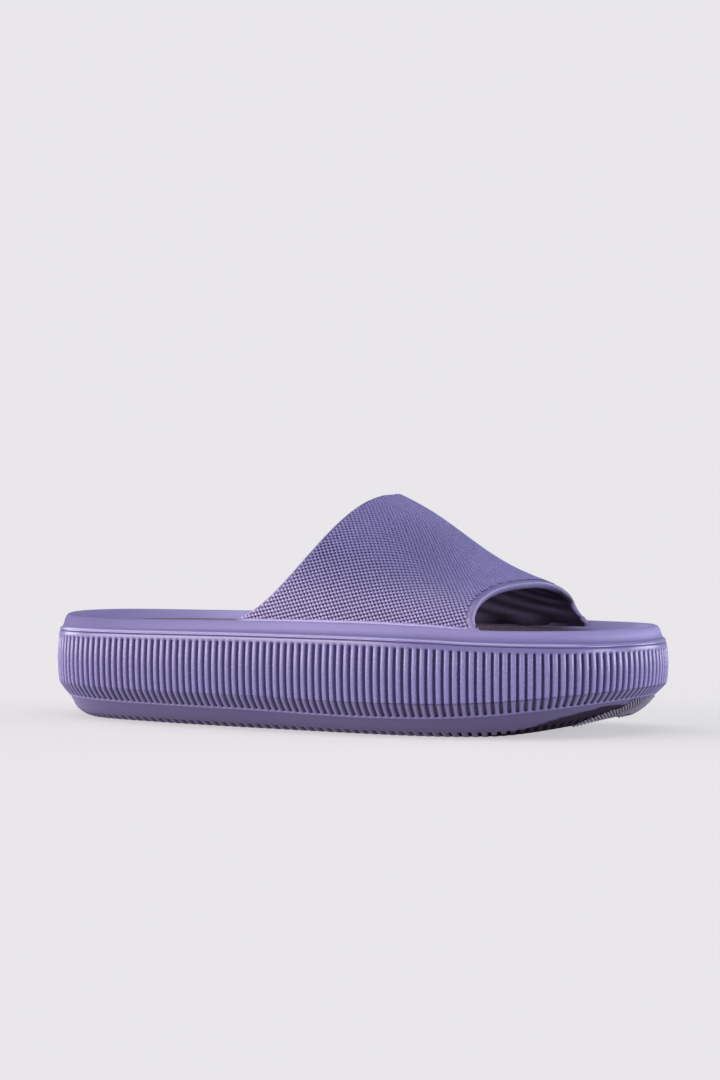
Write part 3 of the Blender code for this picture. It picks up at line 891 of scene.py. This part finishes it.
def makeTread(loft):
    # rungs from side to side, each at one place along the sole
    o = outsole
    inset = o["treadInset"]
    whole = ringAt(np.linspace(0, 1, o["treadSamples"]), inset, over("ground"))[:, 0]
    places = treadStations(whole.min(), whole.max())
    lateral, medial = sharesAtStations(places, inset)
    shares = np.concatenate([[0.0], lateral, [0.5], medial[::-1]])
    ring = ringAt(shares, inset, over("ground"))
    loft.add(shares, ring)
    count = o["lineCount"] * o["lineSteps"] + 1
    along = np.linspace(0, 1, count)[:, None]
    grid = np.array([ring[1 + k] + (ring[-1 - k] - ring[1 + k]) * along for k in range(len(places))])
    flat = grid[:, 1:-1].reshape(-1, 3)
    onLine = np.arange(1, count - 1) % o["lineSteps"] == o["lineSteps"] / 2
    lines = np.tile(onLine, len(places)) * o["lineDepth"]
    relief = np.maximum(grooveDepthAt(flat[:, 0]), lines) * padMask(flat[:, 0], flat[:, 1])
    flat[:, 2] = level("ground", flat[:, 0]) + relief
    base = loft.put(flat, np.zeros((len(flat), 3)), farOff, o["treadShade"], 0.0)
    width = count - 2

    def at(k, i):
        if i == 0:
            return 1 + k
        if i == count - 1:
            return len(shares) - 1 - k
        return base + k * width + i - 1

    for k in range(len(places) - 1):
        for i in range(count - 1):
            loft.faces.append((at(k, i), at(k, i + 1), at(k + 1, i + 1), at(k + 1, i)))
    heel, toe = 0, len(places) + 1
    for i in range(count - 1):
        loft.faces.append((heel, at(0, i + 1), at(0, i)))
        loft.faces.append((toe, at(len(places) - 1, i), at(len(places) - 1, i + 1)))


def makeHatch():
    # lattice on the band under the toe
    h = outsole["hatch"]
    away = h["toeAway"]
    middle = 0.5
    shares = middle + np.linspace(-away[-1], away[-1], h["alongSamples"])
    run = runAlong(bandPoints(shares, np.full(len(shares), h["alongRise"])))
    rises = np.linspace(0, 1, h["acrossSamples"])
    climb = runAlong(bandPoints(np.full(len(rises), middle), rises))
    spots = staggered((0, 0), (run[-1], climb[-1]), h)
    shares, rises = np.interp(spots[:, 0], run, shares), np.interp(spots[:, 1], climb, rises)
    keep = rises < smoothRead(np.abs(shares - middle), away, h["toeTops"])
    shares, rises = shares[keep], rises[keep]
    here = bandPoints(shares, rises)
    alongs = bandPoints(shares + h["probe"], rises) - here
    ups = unit(np.cross(bandPoints(shares, rises + h["probe"]) - here, alongs))
    ups *= np.where(ups[:, 2] > 0, -1, 1)[:, None]
    return makeLattice("hatchLattice", here, ups, alongs)


def makeOutsole():
    o, m = outsole, midsole
    loft = Loft()
    makeTread(loft)

    # teeth round the edge, then the band above them
    columns = np.array(o["toothColumns"])
    teeth = (((np.arange(o["toothCount"])[:, None] + 0.5) + columns) / o["toothCount"]).ravel()
    notch = np.tile(o["notchOpen"], o["toothCount"])
    outer, inner = o["landInsets"]
    # the notches' back wall and the band take painted shade
    under = paintedShadeUnder(teeth, 0.0)
    loft.add(teeth, ringAt(teeth, inner, over("ground")), shade=np.maximum(notch, under))
    points, dark = cutNotches(ringAt(teeth, outer, over("ground")), teeth, notch)
    loft.add(teeth, points, shade=np.maximum(dark, under))
    for rise in o["bandSteps"]:
        points, dark = cutNotches(bandPoints(teeth, np.full(len(teeth), rise)), teeth, notch)
        loft.add(teeth, points, shade=np.maximum(dark, paintedShadeUnder(teeth, rise)))

    # chamfer, up to the parting line
    insetTop, insetEnd = o["chamferInsets"]
    for step in o["chamferSteps"]:
        inset = insetTop + (insetEnd - insetTop) * step ** o["chamferRound"]
        points = ringAt(ribbed, inset, between("ribEnd", "parting", 1 - step))
        run = np.hypot(insetEnd - insetTop, level("parting", points[:, 0]) - level("ribEnd", points[:, 0]))
        past = np.maximum(step - o["grooveEnd"], 0) * run
        widen = 1 - o["grooveWiden"] * min(step / o["widenBy"], 1)
        loft.add(ribbed, points, np.hypot(across * widen, past))
    loft.add(ribbed, ringAt(ribbed, insetTop, seamSide(-1, m["edgeRound"])), across)
    loft.add(ribbed, ringAt(ribbed, insetTop + m["edgeRound"], seamSide(-1)), across)
    first = loft.add(plain, ringAt(plain, m["flange"], seamSide(-1)))
    loft.faces += ladder(first, len(plain))
    foam = makeFoam("outsoleFoam", o["foam"])
    piece = showMesh("outsoleFoam", loft.mesh("outsoleFoam"))
    pressRibs(piece, foam, o["grooveShade"])
    piece = dressWithLozenges(piece, makeHatch(), o["hatch"], foam)
    # lozenges that reach the ground end flat on it
    places = np.zeros(len(piece.data.vertices) * 3)
    piece.data.vertices.foreach_get("co", places)
    places[2::3] = np.maximum(places[2::3], 0)
    piece.data.vertices.foreach_set("co", places)
    piece.data.update()
    return piece


outsolePiece = makeOutsole()
print("outsole:", len(outsolePiece.data.polygons), "faces")

# Footbed: a shallow dish in the recess, with a skin of low lozenges
footbed = {
    "inset": 12.06,
    "under": 6.7,               # of its underside below the ledge
    "dishHeel": 4.0,
    "dishToe": 2.0,
    "shorten": 0.7,             # the dish's middle line, as a share of the footbed's length
    # shares of the way in from the edge: the rows, and how far the dish has dropped
    "rows": (0.0, 0.03, 0.08, 0.14, 0.2, 0.28, 0.38, 0.5, 0.62, 0.74, 0.86, 0.96),
    "dropShares": (0.0, 0.2, 0.5, 0.8, 1.0),
    "drops": (0.0, 0.5, 0.9, 1.0, 1.0),
    "pitchAlong": 2.9,
    "pitchAcross": 2.3,
    "border": 3.0,
    "dropFrom": 100.0,          # lozenges fall from here onto the dish,
    "leastUp": 0.5,             # and stay where it faces up
    "slack": 1.0,
    "lozengeHeight": 0.3,
    "saddle": 0.3,
    "pitShade": 0.5,
    "worn": 0.0,
    "foam": {
        **foamBase,
        "tone": (0.125, 0.091, 0.135),
        "paintedShadeTone": (0.070, 0.050, 0.075),
        "drift": 0.07,
        "roughness": 0.6,
        "ribRoughness": 0.6,
        "grainScale": 1700.0,
        "grainHeight": 0.00005,
        "pebble": 0.5,
        "ior": 1.45,
    },
}


def footbedRing(edge, share):
    f = footbed
    partner = edge[-np.arange(len(edge))]
    middle = (edge + partner) / 2
    middle[:, 0] *= f["shorten"]
    inner = edge + (middle - edge) * share
    along = np.clip((inner[:, 0] - heelX) / last["length"], 0, 1)
    drop = float(smoothRead(np.array([share]), f["dropShares"], f["drops"])[0])
    inner[:, 2] = edge[:, 2] - drop * (f["dishHeel"] + (f["dishToe"] - f["dishHeel"]) * along)
    return inner


def makeFootbed():
    f = footbed
    edge = ringAt(plain, f["inset"], lambda x: rimHeight(midsole["rimInsets"][-1], x))
    rings = [ringAt(plain, f["inset"], over("ledge", -f["under"]))]
    rings += [footbedRing(edge, share) for share in f["rows"]]
    count = len(plain)
    faces = ladder(0, count)
    for k in range(len(rings) - 1):
        faces += ringFaces(k * count, plain, (k + 1) * count, plain)
    faces += ladder((len(rings) - 1) * count, count)
    piece = showMesh("footbedFoam", plainMesh("footbedFoam", np.vstack(rings), faces))

    # lozenges in staggered rows, dropped straight onto the dish
    low, high = edge.min(axis=0), edge.max(axis=0)
    lowest = (low[2] - f["dishHeel"] - f["slack"]) * mm
    points, ups = [], []
    bpy.context.view_layer.update()
    for x, y in staggered(low, high, f):
        if np.hypot(edge[:, 0] - x, edge[:, 1] - y).min() < f["border"]:
            continue
        hit, place, normal, _ = piece.ray_cast(Vector((x, y, f["dropFrom"])) * mm, Vector((0, 0, -1)))
        if hit and place.z > lowest and normal.z > f["leastUp"]:
            points.append(np.array(place) / mm)
            ups.append(normal)
    alongs = np.tile((1.0, 0.0, 0.0), (len(points), 1))
    lattice = makeLattice("footbedLattice", points, ups, alongs)
    return dressWithLozenges(piece, lattice, f, makeFoam("footbedFoam", f["foam"]))


footbedPiece = makeFootbed()
print("footbed:", len(footbedPiece.data.polygons), "faces")

# Upper: one strap over the foot, open at collar and toe, standing on the rim
strap = {
    "wall": 3.2,
    "footInset": 7.0,
    "footHeight": 41.8,
    "footSink": 1.2,            # how far under that the feet's flare ends
    "ridgeWave": 1.36,          # of the crest's line over and under the straight from collar to toe
    "fillet": 1.5,              # round between the strap's outer face and the rim
    # open edges: where the feet and the crest stand along the length, the crest's y and z, and the
    # powers that shape width, height and lean from each foot to the crest; the feet flare forward
    "collar": {"feet": (0.367, 0.447), "crest": (0.559, 12.2, 92.5),
               "width": (2.69, 2.40), "rise": (2.23, 2.26), "lean": (0.50, 1.52),
               "flare": (0.0, 0.0), "flareHeight": (3.0, 3.0)},
    "toe": {"feet": (0.787, 0.818), "crest": (0.792, 4.0, 58.1),
            "width": (2.60, 3.04), "rise": (2.94, 3.35), "lean": (2.16, 1.88),
            "flare": (3.1, 6.2), "flareHeight": (6.4, 8.2)},
    "columns": 161,
    "columnSamples": 4001,
    "patternColumns": 401,      # of the flat pattern for the lozenges
    "reachColumns": (1.012, 1.032),     # values of u past each foot
    "reachDrop": 100.0,         # how far down 1 of u goes there
    "probe": 0.01,              # step of u or v for reading directions
    "rows": 36,
    "innerRows": 36,
    # section round an open edge: distance from the edge and depth under the outer face
    "edgeRound": ((0.5, 0.05), (0.05, 0.25), (-0.25, 0.7), (-0.35, 1.4), (-0.25, 2.2), (0.1, 2.8),
                  (0.6, 3.1)),
    "innerEnd": 1.3,            # distance from the edge at which the inner face ends
    # smooth borders: distance from the edge and height over the skin under the lozenges
    "collarBorder": ((0.6, 0.25), (0.8, 0.25), (1.1, 0.0)),
    "toeBorder": ((1.2, 0.2), (1.7, 0.18), (2.4, 0.0)),
    "skinDrop": 0.12,           # of the skin under the lozenges, below the strap's own face
    "ridgeCount": 24,           # lengthwise ridges on the inner face
    "ridgeHeight": 1.0,
    "ridgeFade": 12.0,          # how fast they rise from the open edges
    "ridgeLight": 0.14,         # painted light: how much less dark the ridges' tops are in the lining's painted shade
    "ridgeSlant": 4.5,          # ridges that each foot's lines drop by towards the toe
    "pitchAlong": 2.4,
    "pitchAcross": 1.8,
    "lozengeHeight": 0.62,
    "saddle": 0.9,
    "pitShade": 1.0,
    "worn": 0.0,
    # painted shade on the skin under the lozenges, on the smooth borders and on the inner lining
    "skinShade": 0.8,
    "borderShade": 0.52,
    "edgeTurn": (0.7, 2.0),     # depths between which an open edge takes on the lining's painted shade,
    "edgeDark": ((0.1, 0.5, 0.78, 0.92), (0.0, 1.0, 1.0, 0.15)),     # and by how much, against u
    "liningShade": 1.0,
    # distance from each edge at which lozenges, and the skin's shade under them, begin
    "bare": {"collar": 1.2, "toe": 2.5, "foot": -0.6},
    "bareSkin": {"collar": 1.4, "toe": 4.3, "foot": 0.7},
    "bareFade": 0.8,
    "foam": {
        **foamBase,
        # painted light: the lower strap takes the lighter, pinker tone as if lit from the low left, the upper
        # strap the darker high tone
        "tone": (0.410, 0.350, 0.610),
        "highTone": (0.182, 0.164, 0.388),
        "paintedLightTurn": (44.0, 74.0),
        "paintedLightLean": 0.17,
        "paintedShadeTone": (0.028, 0.021, 0.038),
        "gather": 1.35,
        "drift": 0.05,
        "roughness": 0.36,
        "ribRoughness": 0.36,
        "grainScale": 1700.0,
        "grainHeight": 0.00002,
        "pebble": 0.3,
    },
}


def footY(x, side):
    line = outline - outward * strap["footInset"]
    half = line[:toeIndex + 1] if side < 0 else np.vstack([line[toeIndex:], line[:1]])[::-1]
    return np.interp(x, half[:, 0], half[:, 1])


def strapEdge(edge, u):
    # one open edge: u is -1 at the lateral foot, 0 at the crest and 1 at the medial foot
    station, y, z = edge["crest"]
    crest = np.array([heelX + station * last["length"], y - frameCentre[1], z])
    turn = np.clip(1 - np.abs(u), 0, 1) * math.pi / 2
    up, out = np.sin(turn), np.maximum(np.cos(turn), 0)
    below = np.maximum(np.abs(u) - 1, 0) * strap["reachDrop"]
    points = np.zeros((len(u), 3))
    for k, side in enumerate((-1, 1)):
        x = heelX + edge["feet"][k] * last["length"]
        foot = np.array([x, footY(x, side), strap["footHeight"]])
        mine = u <= 0 if side < 0 else u > 0
        points[mine, 0] = foot[0] + (crest[0] - foot[0]) * up[mine] ** edge["lean"][k]
        points[mine, 1] = crest[1] + (foot[1] - crest[1]) * out[mine] ** (2 / edge["width"][k])
        points[mine, 2] = foot[2] + (crest[2] - foot[2]) * up[mine] ** (2 / edge["rise"][k]) - below[mine]
        near = np.clip(1 - (points[mine, 2] - foot[2] + strap["footSink"]) / edge["flareHeight"][k], 0, 1)
        points[mine, 0] += edge["flare"][k] * near ** 2
    return points


def evenColumns(count):
    # values of u that lie evenly along the strap's middle
    dense = np.sin(np.linspace(-1, 1, strap["columnSamples"]) * math.pi / 2)
    run = runAlong((strapEdge(strap["collar"], dense) + strapEdge(strap["toe"], dense)) / 2)
    return np.interp(np.linspace(0, run[-1], count), run, dense)


def strapFace(u, v):
    # the strap's smooth outer face on a grid of u by v
    collar, toe = strapEdge(strap["collar"], u), strapEdge(strap["toe"], u)
    face = collar[:, None, :] + (toe - collar)[:, None, :] * v[:, :, None]
    face[:, :, 2] += strap["ridgeWave"] * np.sin(2 * math.pi * v) * np.cos(u * math.pi / 2)[:, None]
    for k in np.flatnonzero(np.abs(u) >= 1):
        face[k, :, 1] = footY(face[k, :, 0], np.sign(u[k]))
    return face


def outwardOf(face):
    return unit(np.cross(np.gradient(face, axis=1), np.gradient(face, axis=0)))


def overRim(points):
    # height over the rim where the feet stand
    flat = points.reshape(-1, 3)
    rim = rimHeight(np.full(len(flat), strap["footInset"]), flat[:, 0])
    return (flat[:, 2] - rim).reshape(points.shape[:-1])


def filletSwing(points, out):
    # how far the outer face swings out to meet the rim
    near = np.clip(1 - overRim(points) / strap["fillet"], 0, 1)
    return out * (strap["fillet"] * (1 - np.sqrt(1 - near ** 2)))[..., None] * (1, 1, 0)


def flatPattern(u):
    # the strap laid flat, ruling by ruling, from the crest to each foot
    collar, toe = strapEdge(strap["collar"], u), strapEdge(strap["toe"], u)
    flatCollar, flatToe = np.zeros((len(u), 2)), np.zeros((len(u), 2))
    crest = int(np.argmin(np.abs(u)))
    flatToe[crest] = np.linalg.norm(toe[crest] - collar[crest]), 0

    def third(a, b, toA, toB, side):
        base = b - a
        span = np.linalg.norm(base)
        along = (toA ** 2 - toB ** 2 + span ** 2) / (2 * span)
        aside = math.sqrt(max(toA ** 2 - along ** 2, 0))
        normal = np.array([-base[1], base[0]]) / span
        return a + base / span * along + normal * aside * side

    for side, order in ((-1, range(crest - 1, -1, -1)), (1, range(crest + 1, len(u)))):
        for i in order:
            j = i - side
            flatCollar[i] = third(flatCollar[j], flatToe[j], np.linalg.norm(collar[i] - collar[j]),
                                  np.linalg.norm(collar[i] - toe[j]), side)
            flatToe[i] = third(flatCollar[i], flatToe[j], np.linalg.norm(toe[i] - collar[i]),
                               np.linalg.norm(toe[i] - toe[j]), side)
    return flatCollar, flatToe


def outerRows(length):
    # rows of the outer face, as v by column and as heights: collar border, skin, toe border
    s = strap
    collarRows, toeRows = s["collarBorder"], s["toeBorder"][::-1]
    first, final = collarRows[-1][0], toeRows[0][0]
    v = [distance / length for distance, _ in collarRows]
    v += [first / length + (1 - (first + final) / length) * share
          for share in np.linspace(0, 1, s["rows"] + 2)[1:-1]]
    v += [1 - distance / length for distance, _ in toeRows]
    lift = [rise for _, rise in collarRows] + [0.0] * s["rows"] + [rise for _, rise in toeRows]
    return np.array(v).T, np.array(lift) - s["skinDrop"]


def roundEdge(u, length, border, atToe):
    # rows round an open edge, from the outer face to the inner
    s = strap
    rows = []
    for distance, depth in s["edgeRound"]:
        share = distance / length
        share = (1 - share if atToe else share)[:, None]
        spot = strapFace(u, np.repeat(share, 3, axis=1) + np.array((-s["probe"], 0, s["probe"])))
        out = outwardOf(spot)[:, 1]
        left = 1 - depth / s["wall"]
        row = spot[:, 1] - out * (depth - (border - s["skinDrop"]) * left)
        rows.append(row + filletSwing(row, out) * left)
    return np.stack(rows, axis=1)


def innerFace(u, length):
    # rows of the inner face from the toe back to the collar, and the ridges on them
    s = strap
    share = np.linspace(1, 0, s["innerRows"])
    end = s["innerEnd"]
    face = strapFace(u, (end / length)[:, None] + (1 - 2 * end / length)[:, None] * share[None, :])
    turns = np.linspace(0, s["ridgeCount"], len(u))[:, None] - s["ridgeSlant"] * u[:, None] * share[None, :]
    wave = np.cos(turns * 2 * math.pi) * 0.5 + 0.5
    ridge = wave * np.clip(np.minimum(share, 1 - share) * s["ridgeFade"], 0, 1)[None, :]
    inward = outwardOf(face)        # the rows run backwards, so this points in
    return face + inward * (s["wall"] + s["ridgeHeight"] * ridge)[:, :, None], ridge


def strapShades(u, v, length, height, ridge):
    # painted shade at each point: skin under the lozenges, borders, open edges and lining
    s = strap

    def cover(room, name):
        return np.clip((room - s["bareSkin"][name]) / s["bareFade"] + 0.5, 0, 1)

    inField = cover(v * length[:, None], "collar") * cover((1 - v) * length[:, None], "toe")
    skin = inField * cover(height, "foot") * s["skinShade"] + (1 - inField) * s["borderShade"]
    depths = [depth for _, depth in s["edgeRound"]]
    turned = np.interp(depths, s["edgeTurn"], (s["borderShade"], s["liningShade"]))
    dark = np.interp(u, *s["edgeDark"])[:, None]
    edges = s["borderShade"] + (turned[None, :] - s["borderShade"]) * dark
    lining = (1 - s["ridgeLight"] * ridge) * s["liningShade"]
    return np.hstack([skin, edges, lining, edges[:, ::-1]])


def makeStrapShell():
    s = strap
    reach = np.array(s["reachColumns"])
    u = np.concatenate([-reach[::-1], evenColumns(s["columns"]), reach])
    length = np.linalg.norm(strapEdge(s["toe"], u) - strapEdge(s["collar"], u), axis=1)
    v, lift = outerRows(length)
    face = strapFace(u, v)
    normal = outwardOf(face)
    outer = face + normal * lift[None, :, None]
    height = overRim(outer)
    outer += filletSwing(outer, normal)
    toeRound = roundEdge(u, length, s["toeBorder"][0][1], True)
    collarRound = roundEdge(u, length, s["collarBorder"][0][1], False)
    under, ridge = innerFace(u, length)
    rings = np.concatenate([outer, toeRound, under, collarRound[:, ::-1]], axis=1)
    count = rings.shape[1]
    steps = np.arange(count)
    faces = []
    for i in range(len(rings) - 1):
        faces += ringFaces(i * count, steps, (i + 1) * count, steps)
    faces += [tuple(range(count)), tuple(range((len(rings) - 1) * count, len(rings) * count))]
    shades = {"hollow": strapShades(u, v, length, height, ridge).ravel()}
    return showMesh("upperFoam", plainMesh("upperFoam", rings.reshape(-1, 3), faces, shades))


def readPattern(spots, u, flatCollar, flatToe):
    # the spots that lie on the flat pattern, each with its u and the two ends of its ruling
    ruling = flatToe - flatCollar
    rel = spots[:, None, :] - flatCollar[None, :, :]
    side = ruling[None, :, 0] * rel[:, :, 1] - ruling[None, :, 1] * rel[:, :, 0]
    side /= np.linalg.norm(ruling, axis=1)[None, :]
    cross = (side[:, :-1] >= 0) & (side[:, 1:] < 0)
    inside = cross.any(axis=1)
    side = side[inside]
    k = cross[inside].argmax(axis=1)
    n = np.arange(len(k))
    t = side[n, k] / (side[n, k] - side[n, k + 1])
    rows = np.column_stack([u, flatCollar, flatToe])
    found = rows[k] + (rows[k + 1] - rows[k]) * t[:, None]
    return spots[inside], found[:, 0], found[:, 1:3], found[:, 3:]


def makeStrapLattice():
    # lattice points on the flat pattern, carried back to the strap
    s = strap
    u = evenColumns(s["patternColumns"])
    flatCollar, flatToe = flatPattern(u)
    low = np.minimum(flatCollar.min(axis=0), flatToe.min(axis=0))
    high = np.maximum(flatCollar.max(axis=0), flatToe.max(axis=0))
    spots, uAt, a, b = readPattern(staggered(low, high, s), u, flatCollar, flatToe)
    length = np.linalg.norm(b - a, axis=1)
    at = ((spots - a) * (b - a)).sum(axis=1) / length
    step = s["probe"]
    vAt = (at / length)[:, None] + np.array((-step, 0.0, step))[None, :]
    mid, before, after = (strapFace(uAt + off, vAt) for off in (0, -step / 2, step / 2))
    alongStep = mid[:, 2] - mid[:, 0]
    acrossStep = after[:, 1] - before[:, 1]
    up = unit(np.cross(alongStep, acrossStep))

    # the lattice's own long direction on the strap, from the flat pattern's axes
    flatAlong = (b - a) / length[:, None]
    ahead = unit(alongStep)
    aside = np.cross(up, ahead)
    aside *= np.sign((aside * acrossStep).sum(axis=1))[:, None]
    along = ahead * flatAlong[:, :1] - aside * flatAlong[:, 1:]
    place = mid[:, 1] - up * s["skinDrop"]
    bare = s["bare"]
    keep = (at > bare["collar"]) & (length - at > bare["toe"]) & (overRim(place) > bare["foot"])
    print("strap lozenges:", int(keep.sum()))
    return makeLattice("strapLattice", place[keep], up[keep], along[keep])


def makeUpper():
    piece = makeStrapShell()
    return dressWithLozenges(piece, makeStrapLattice(), strap, makeFoam("upperFoam", strap["foam"]))


upperPiece = makeUpper()
print("upper:", len(upperPiece.data.polygons), "faces")

# Stage: pale floor under a studio dome, and the camera; lengths here are in m
stage = {
    "floorTone": (0.645, 0.635, 0.638),
    "floorReach": 60.0,
    "floorRoughness": 0.9,
    "floorGlow": 0.6,                   # share of the floor's paper tone that no shadow takes away
    "paper": (0.815, 0.799, 0.823),     # the plain ground behind the shoe
    # the dome behind the shoe and on the camera's side, and how far round the one fades into the other
    "backGlow": (0.28, 0.305, 0.35),
    "frontGlow": (0.28, 0.275, 0.285),
    "turnOver": 0.45,
    "darkest": 0.05,
    # softboxes in the dome: direction from the shoe, half angle of the core and of its soft rim, glow and
    # tint; the flag overhead takes light away
    "softboxes": {
        "key": ((-0.68, -0.68, 0.10), 14.0, 34.0, 9.0, (1.0, 0.955, 0.925)),
        "left": ((-0.95, 0.05, 0.15), 8.0, 18.0, 6.5, (1.0, 0.94, 0.90)),
        "edgeHeel": ((-0.76, 0.45, 0.47), 8.0, 16.0, 1.9, (1.0, 0.99, 1.0)),
        "edgeBack": ((-0.70, 0.12, 0.70), 8.0, 16.0, 2.4, (1.0, 0.99, 1.0)),
        "edge": ((-0.44, -0.12, 0.89), 8.0, 16.0, 2.8, (1.0, 0.99, 1.0)),
        "edgeMid": ((-0.05, -0.16, 0.98), 8.0, 16.0, 3.3, (1.0, 0.99, 1.0)),
        "edgeToe": ((0.30, 0.08, 0.95), 8.0, 16.0, 3.4, (1.0, 0.99, 1.0)),
        "right": ((0.97, 0.08, 0.11), 9.0, 21.0, 15.0, (0.92, 0.95, 1.0)),
        "rightStrip": ((0.64, 0.75, 0.16), 9.0, 20.0, 6.0, (0.95, 0.96, 1.0)),
        "flag": ((0.0, 0.0, 1.0), 20.0, 70.0, -0.2, (1.0, 1.0, 1.0)),
    },
    "aim": (0.0, 0.006, 0.035),
    "cameraTurn": 26.16,                # degrees round from the lateral side
    "cameraRise": 3.41,
    "cameraDistance": 1.35177,
    "lens": 111.3,                      # and sensor, in mm
    "sensor": 36.0,
    "lookAt": (0.005, 0.006, 0.074),
}


def makeSoftboxGroup():
    # glow of one round softbox, by the ray's direction
    tree, given, end = newTree("softbox", "ShaderNodeTree", (
        ("Ray", "Vector", None),
        ("Towards", "Vector", None),
        ("Rim", "Float", 0.8),
        ("Core", "Float", 0.9),
        ("Glow", "Vector", None),
    ), (("Glow", "Vector"),))
    facing = calcVector(tree, "DOT_PRODUCT", given["Ray"], given["Towards"]).outputs["Value"]
    share = smoothShare(tree, facing, given["Rim"], given["Core"])
    feed(tree, end["Glow"], calcVector(tree, "SCALE", given["Glow"], Scale=share))
    return tree


def makeDome(away):
    g = stage
    world = bpy.data.worlds.new("studio")
    world.use_nodes = True
    tree = world.node_tree
    ray = addNode(tree, "ShaderNodeTexCoord").outputs["Generated"]
    group = makeSoftboxGroup()
    towardsCamera = Vector((away.x, away.y, 0)).normalized()
    turned = addNode(tree, "ShaderNodeGroup", {"node_tree": group}, Ray=ray, Towards=towardsCamera,
                     Rim=-g["turnOver"], Core=g["turnOver"],
                     Glow=Vector(g["frontGlow"]) - Vector(g["backGlow"]))
    total = calcVector(tree, "ADD", turned, g["backGlow"])
    for towards, core, rim, glow, tint in g["softboxes"].values():
        box = addNode(tree, "ShaderNodeGroup", {"node_tree": group}, Ray=ray,
                      Towards=Vector(towards).normalized(), Rim=math.cos(math.radians(rim)),
                      Core=math.cos(math.radians(core)), Glow=Vector(tint) * glow)
        total = calcVector(tree, "ADD", total, box)
    total = calcVector(tree, "MAXIMUM", total, (g["darkest"],) * 3)
    dome = tree.nodes["Background"]
    feed(tree, dome.inputs["Color"], total)
    paper = addNode(tree, "ShaderNodeBackground", Color=(*g["paper"], 1), Strength=1.0)
    seen = addNode(tree, "ShaderNodeLightPath").outputs["Is Camera Ray"]
    mix = addNode(tree, "ShaderNodeMixShader", None, seen, dome, paper)
    feed(tree, tree.nodes["World Output"].inputs["Surface"], mix)
    return world


def makeStage():
    g = stage
    reach = g["floorReach"]
    mesh = bpy.data.meshes.new("floor")
    mesh.from_pydata([(-reach, -reach, 0), (reach, -reach, 0), (reach, reach, 0), (-reach, reach, 0)],
                     [], [(0, 1, 2, 3)])
    floor = showMesh("floor", mesh)
    material = bpy.data.materials.new("floorPaper")
    material.use_nodes = True
    shader = material.node_tree.nodes["Principled BSDF"]
    shade = [tone * (1 - g["floorGlow"]) for tone in g["floorTone"]]
    looks = {"Base Color": (*shade, 1), "Roughness": g["floorRoughness"], "Specular IOR Level": 0.0,
             "Emission Color": (*g["paper"], 1), "Emission Strength": g["floorGlow"]}
    for label, value in looks.items():
        shader.inputs[label].default_value = value
    mesh.materials.append(material)

    scene = bpy.context.scene
    aim = Vector(g["aim"])
    turn, rise = math.radians(g["cameraTurn"]), math.radians(g["cameraRise"])
    away = Vector((math.sin(turn) * math.cos(rise), -math.cos(turn) * math.cos(rise), math.sin(rise)))
    scene.world = makeDome(away)
    data = bpy.data.cameras.new("camera")
    data.sensor_width = g["sensor"]
    data.lens = g["lens"]
    camera = bpy.data.objects.new("camera", data)
    scene.collection.objects.link(camera)
    camera.location = aim + away * g["cameraDistance"]
    camera.rotation_euler = (Vector(g["lookAt"]) - camera.location).to_track_quat("-Z", "Y").to_euler()
    scene.camera = camera
    scene.view_settings.view_transform = "Standard"


makeStage()

for piece, node in ((midsolePiece, "midsole"), (outsolePiece, "outsole"),
                    (footbedPiece, "footbed"), (upperPiece, "upper")):
    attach(piece, "root")
    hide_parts(node)

bpy.context.view_layer.update()
print("pieces ride and stand for their nodes")
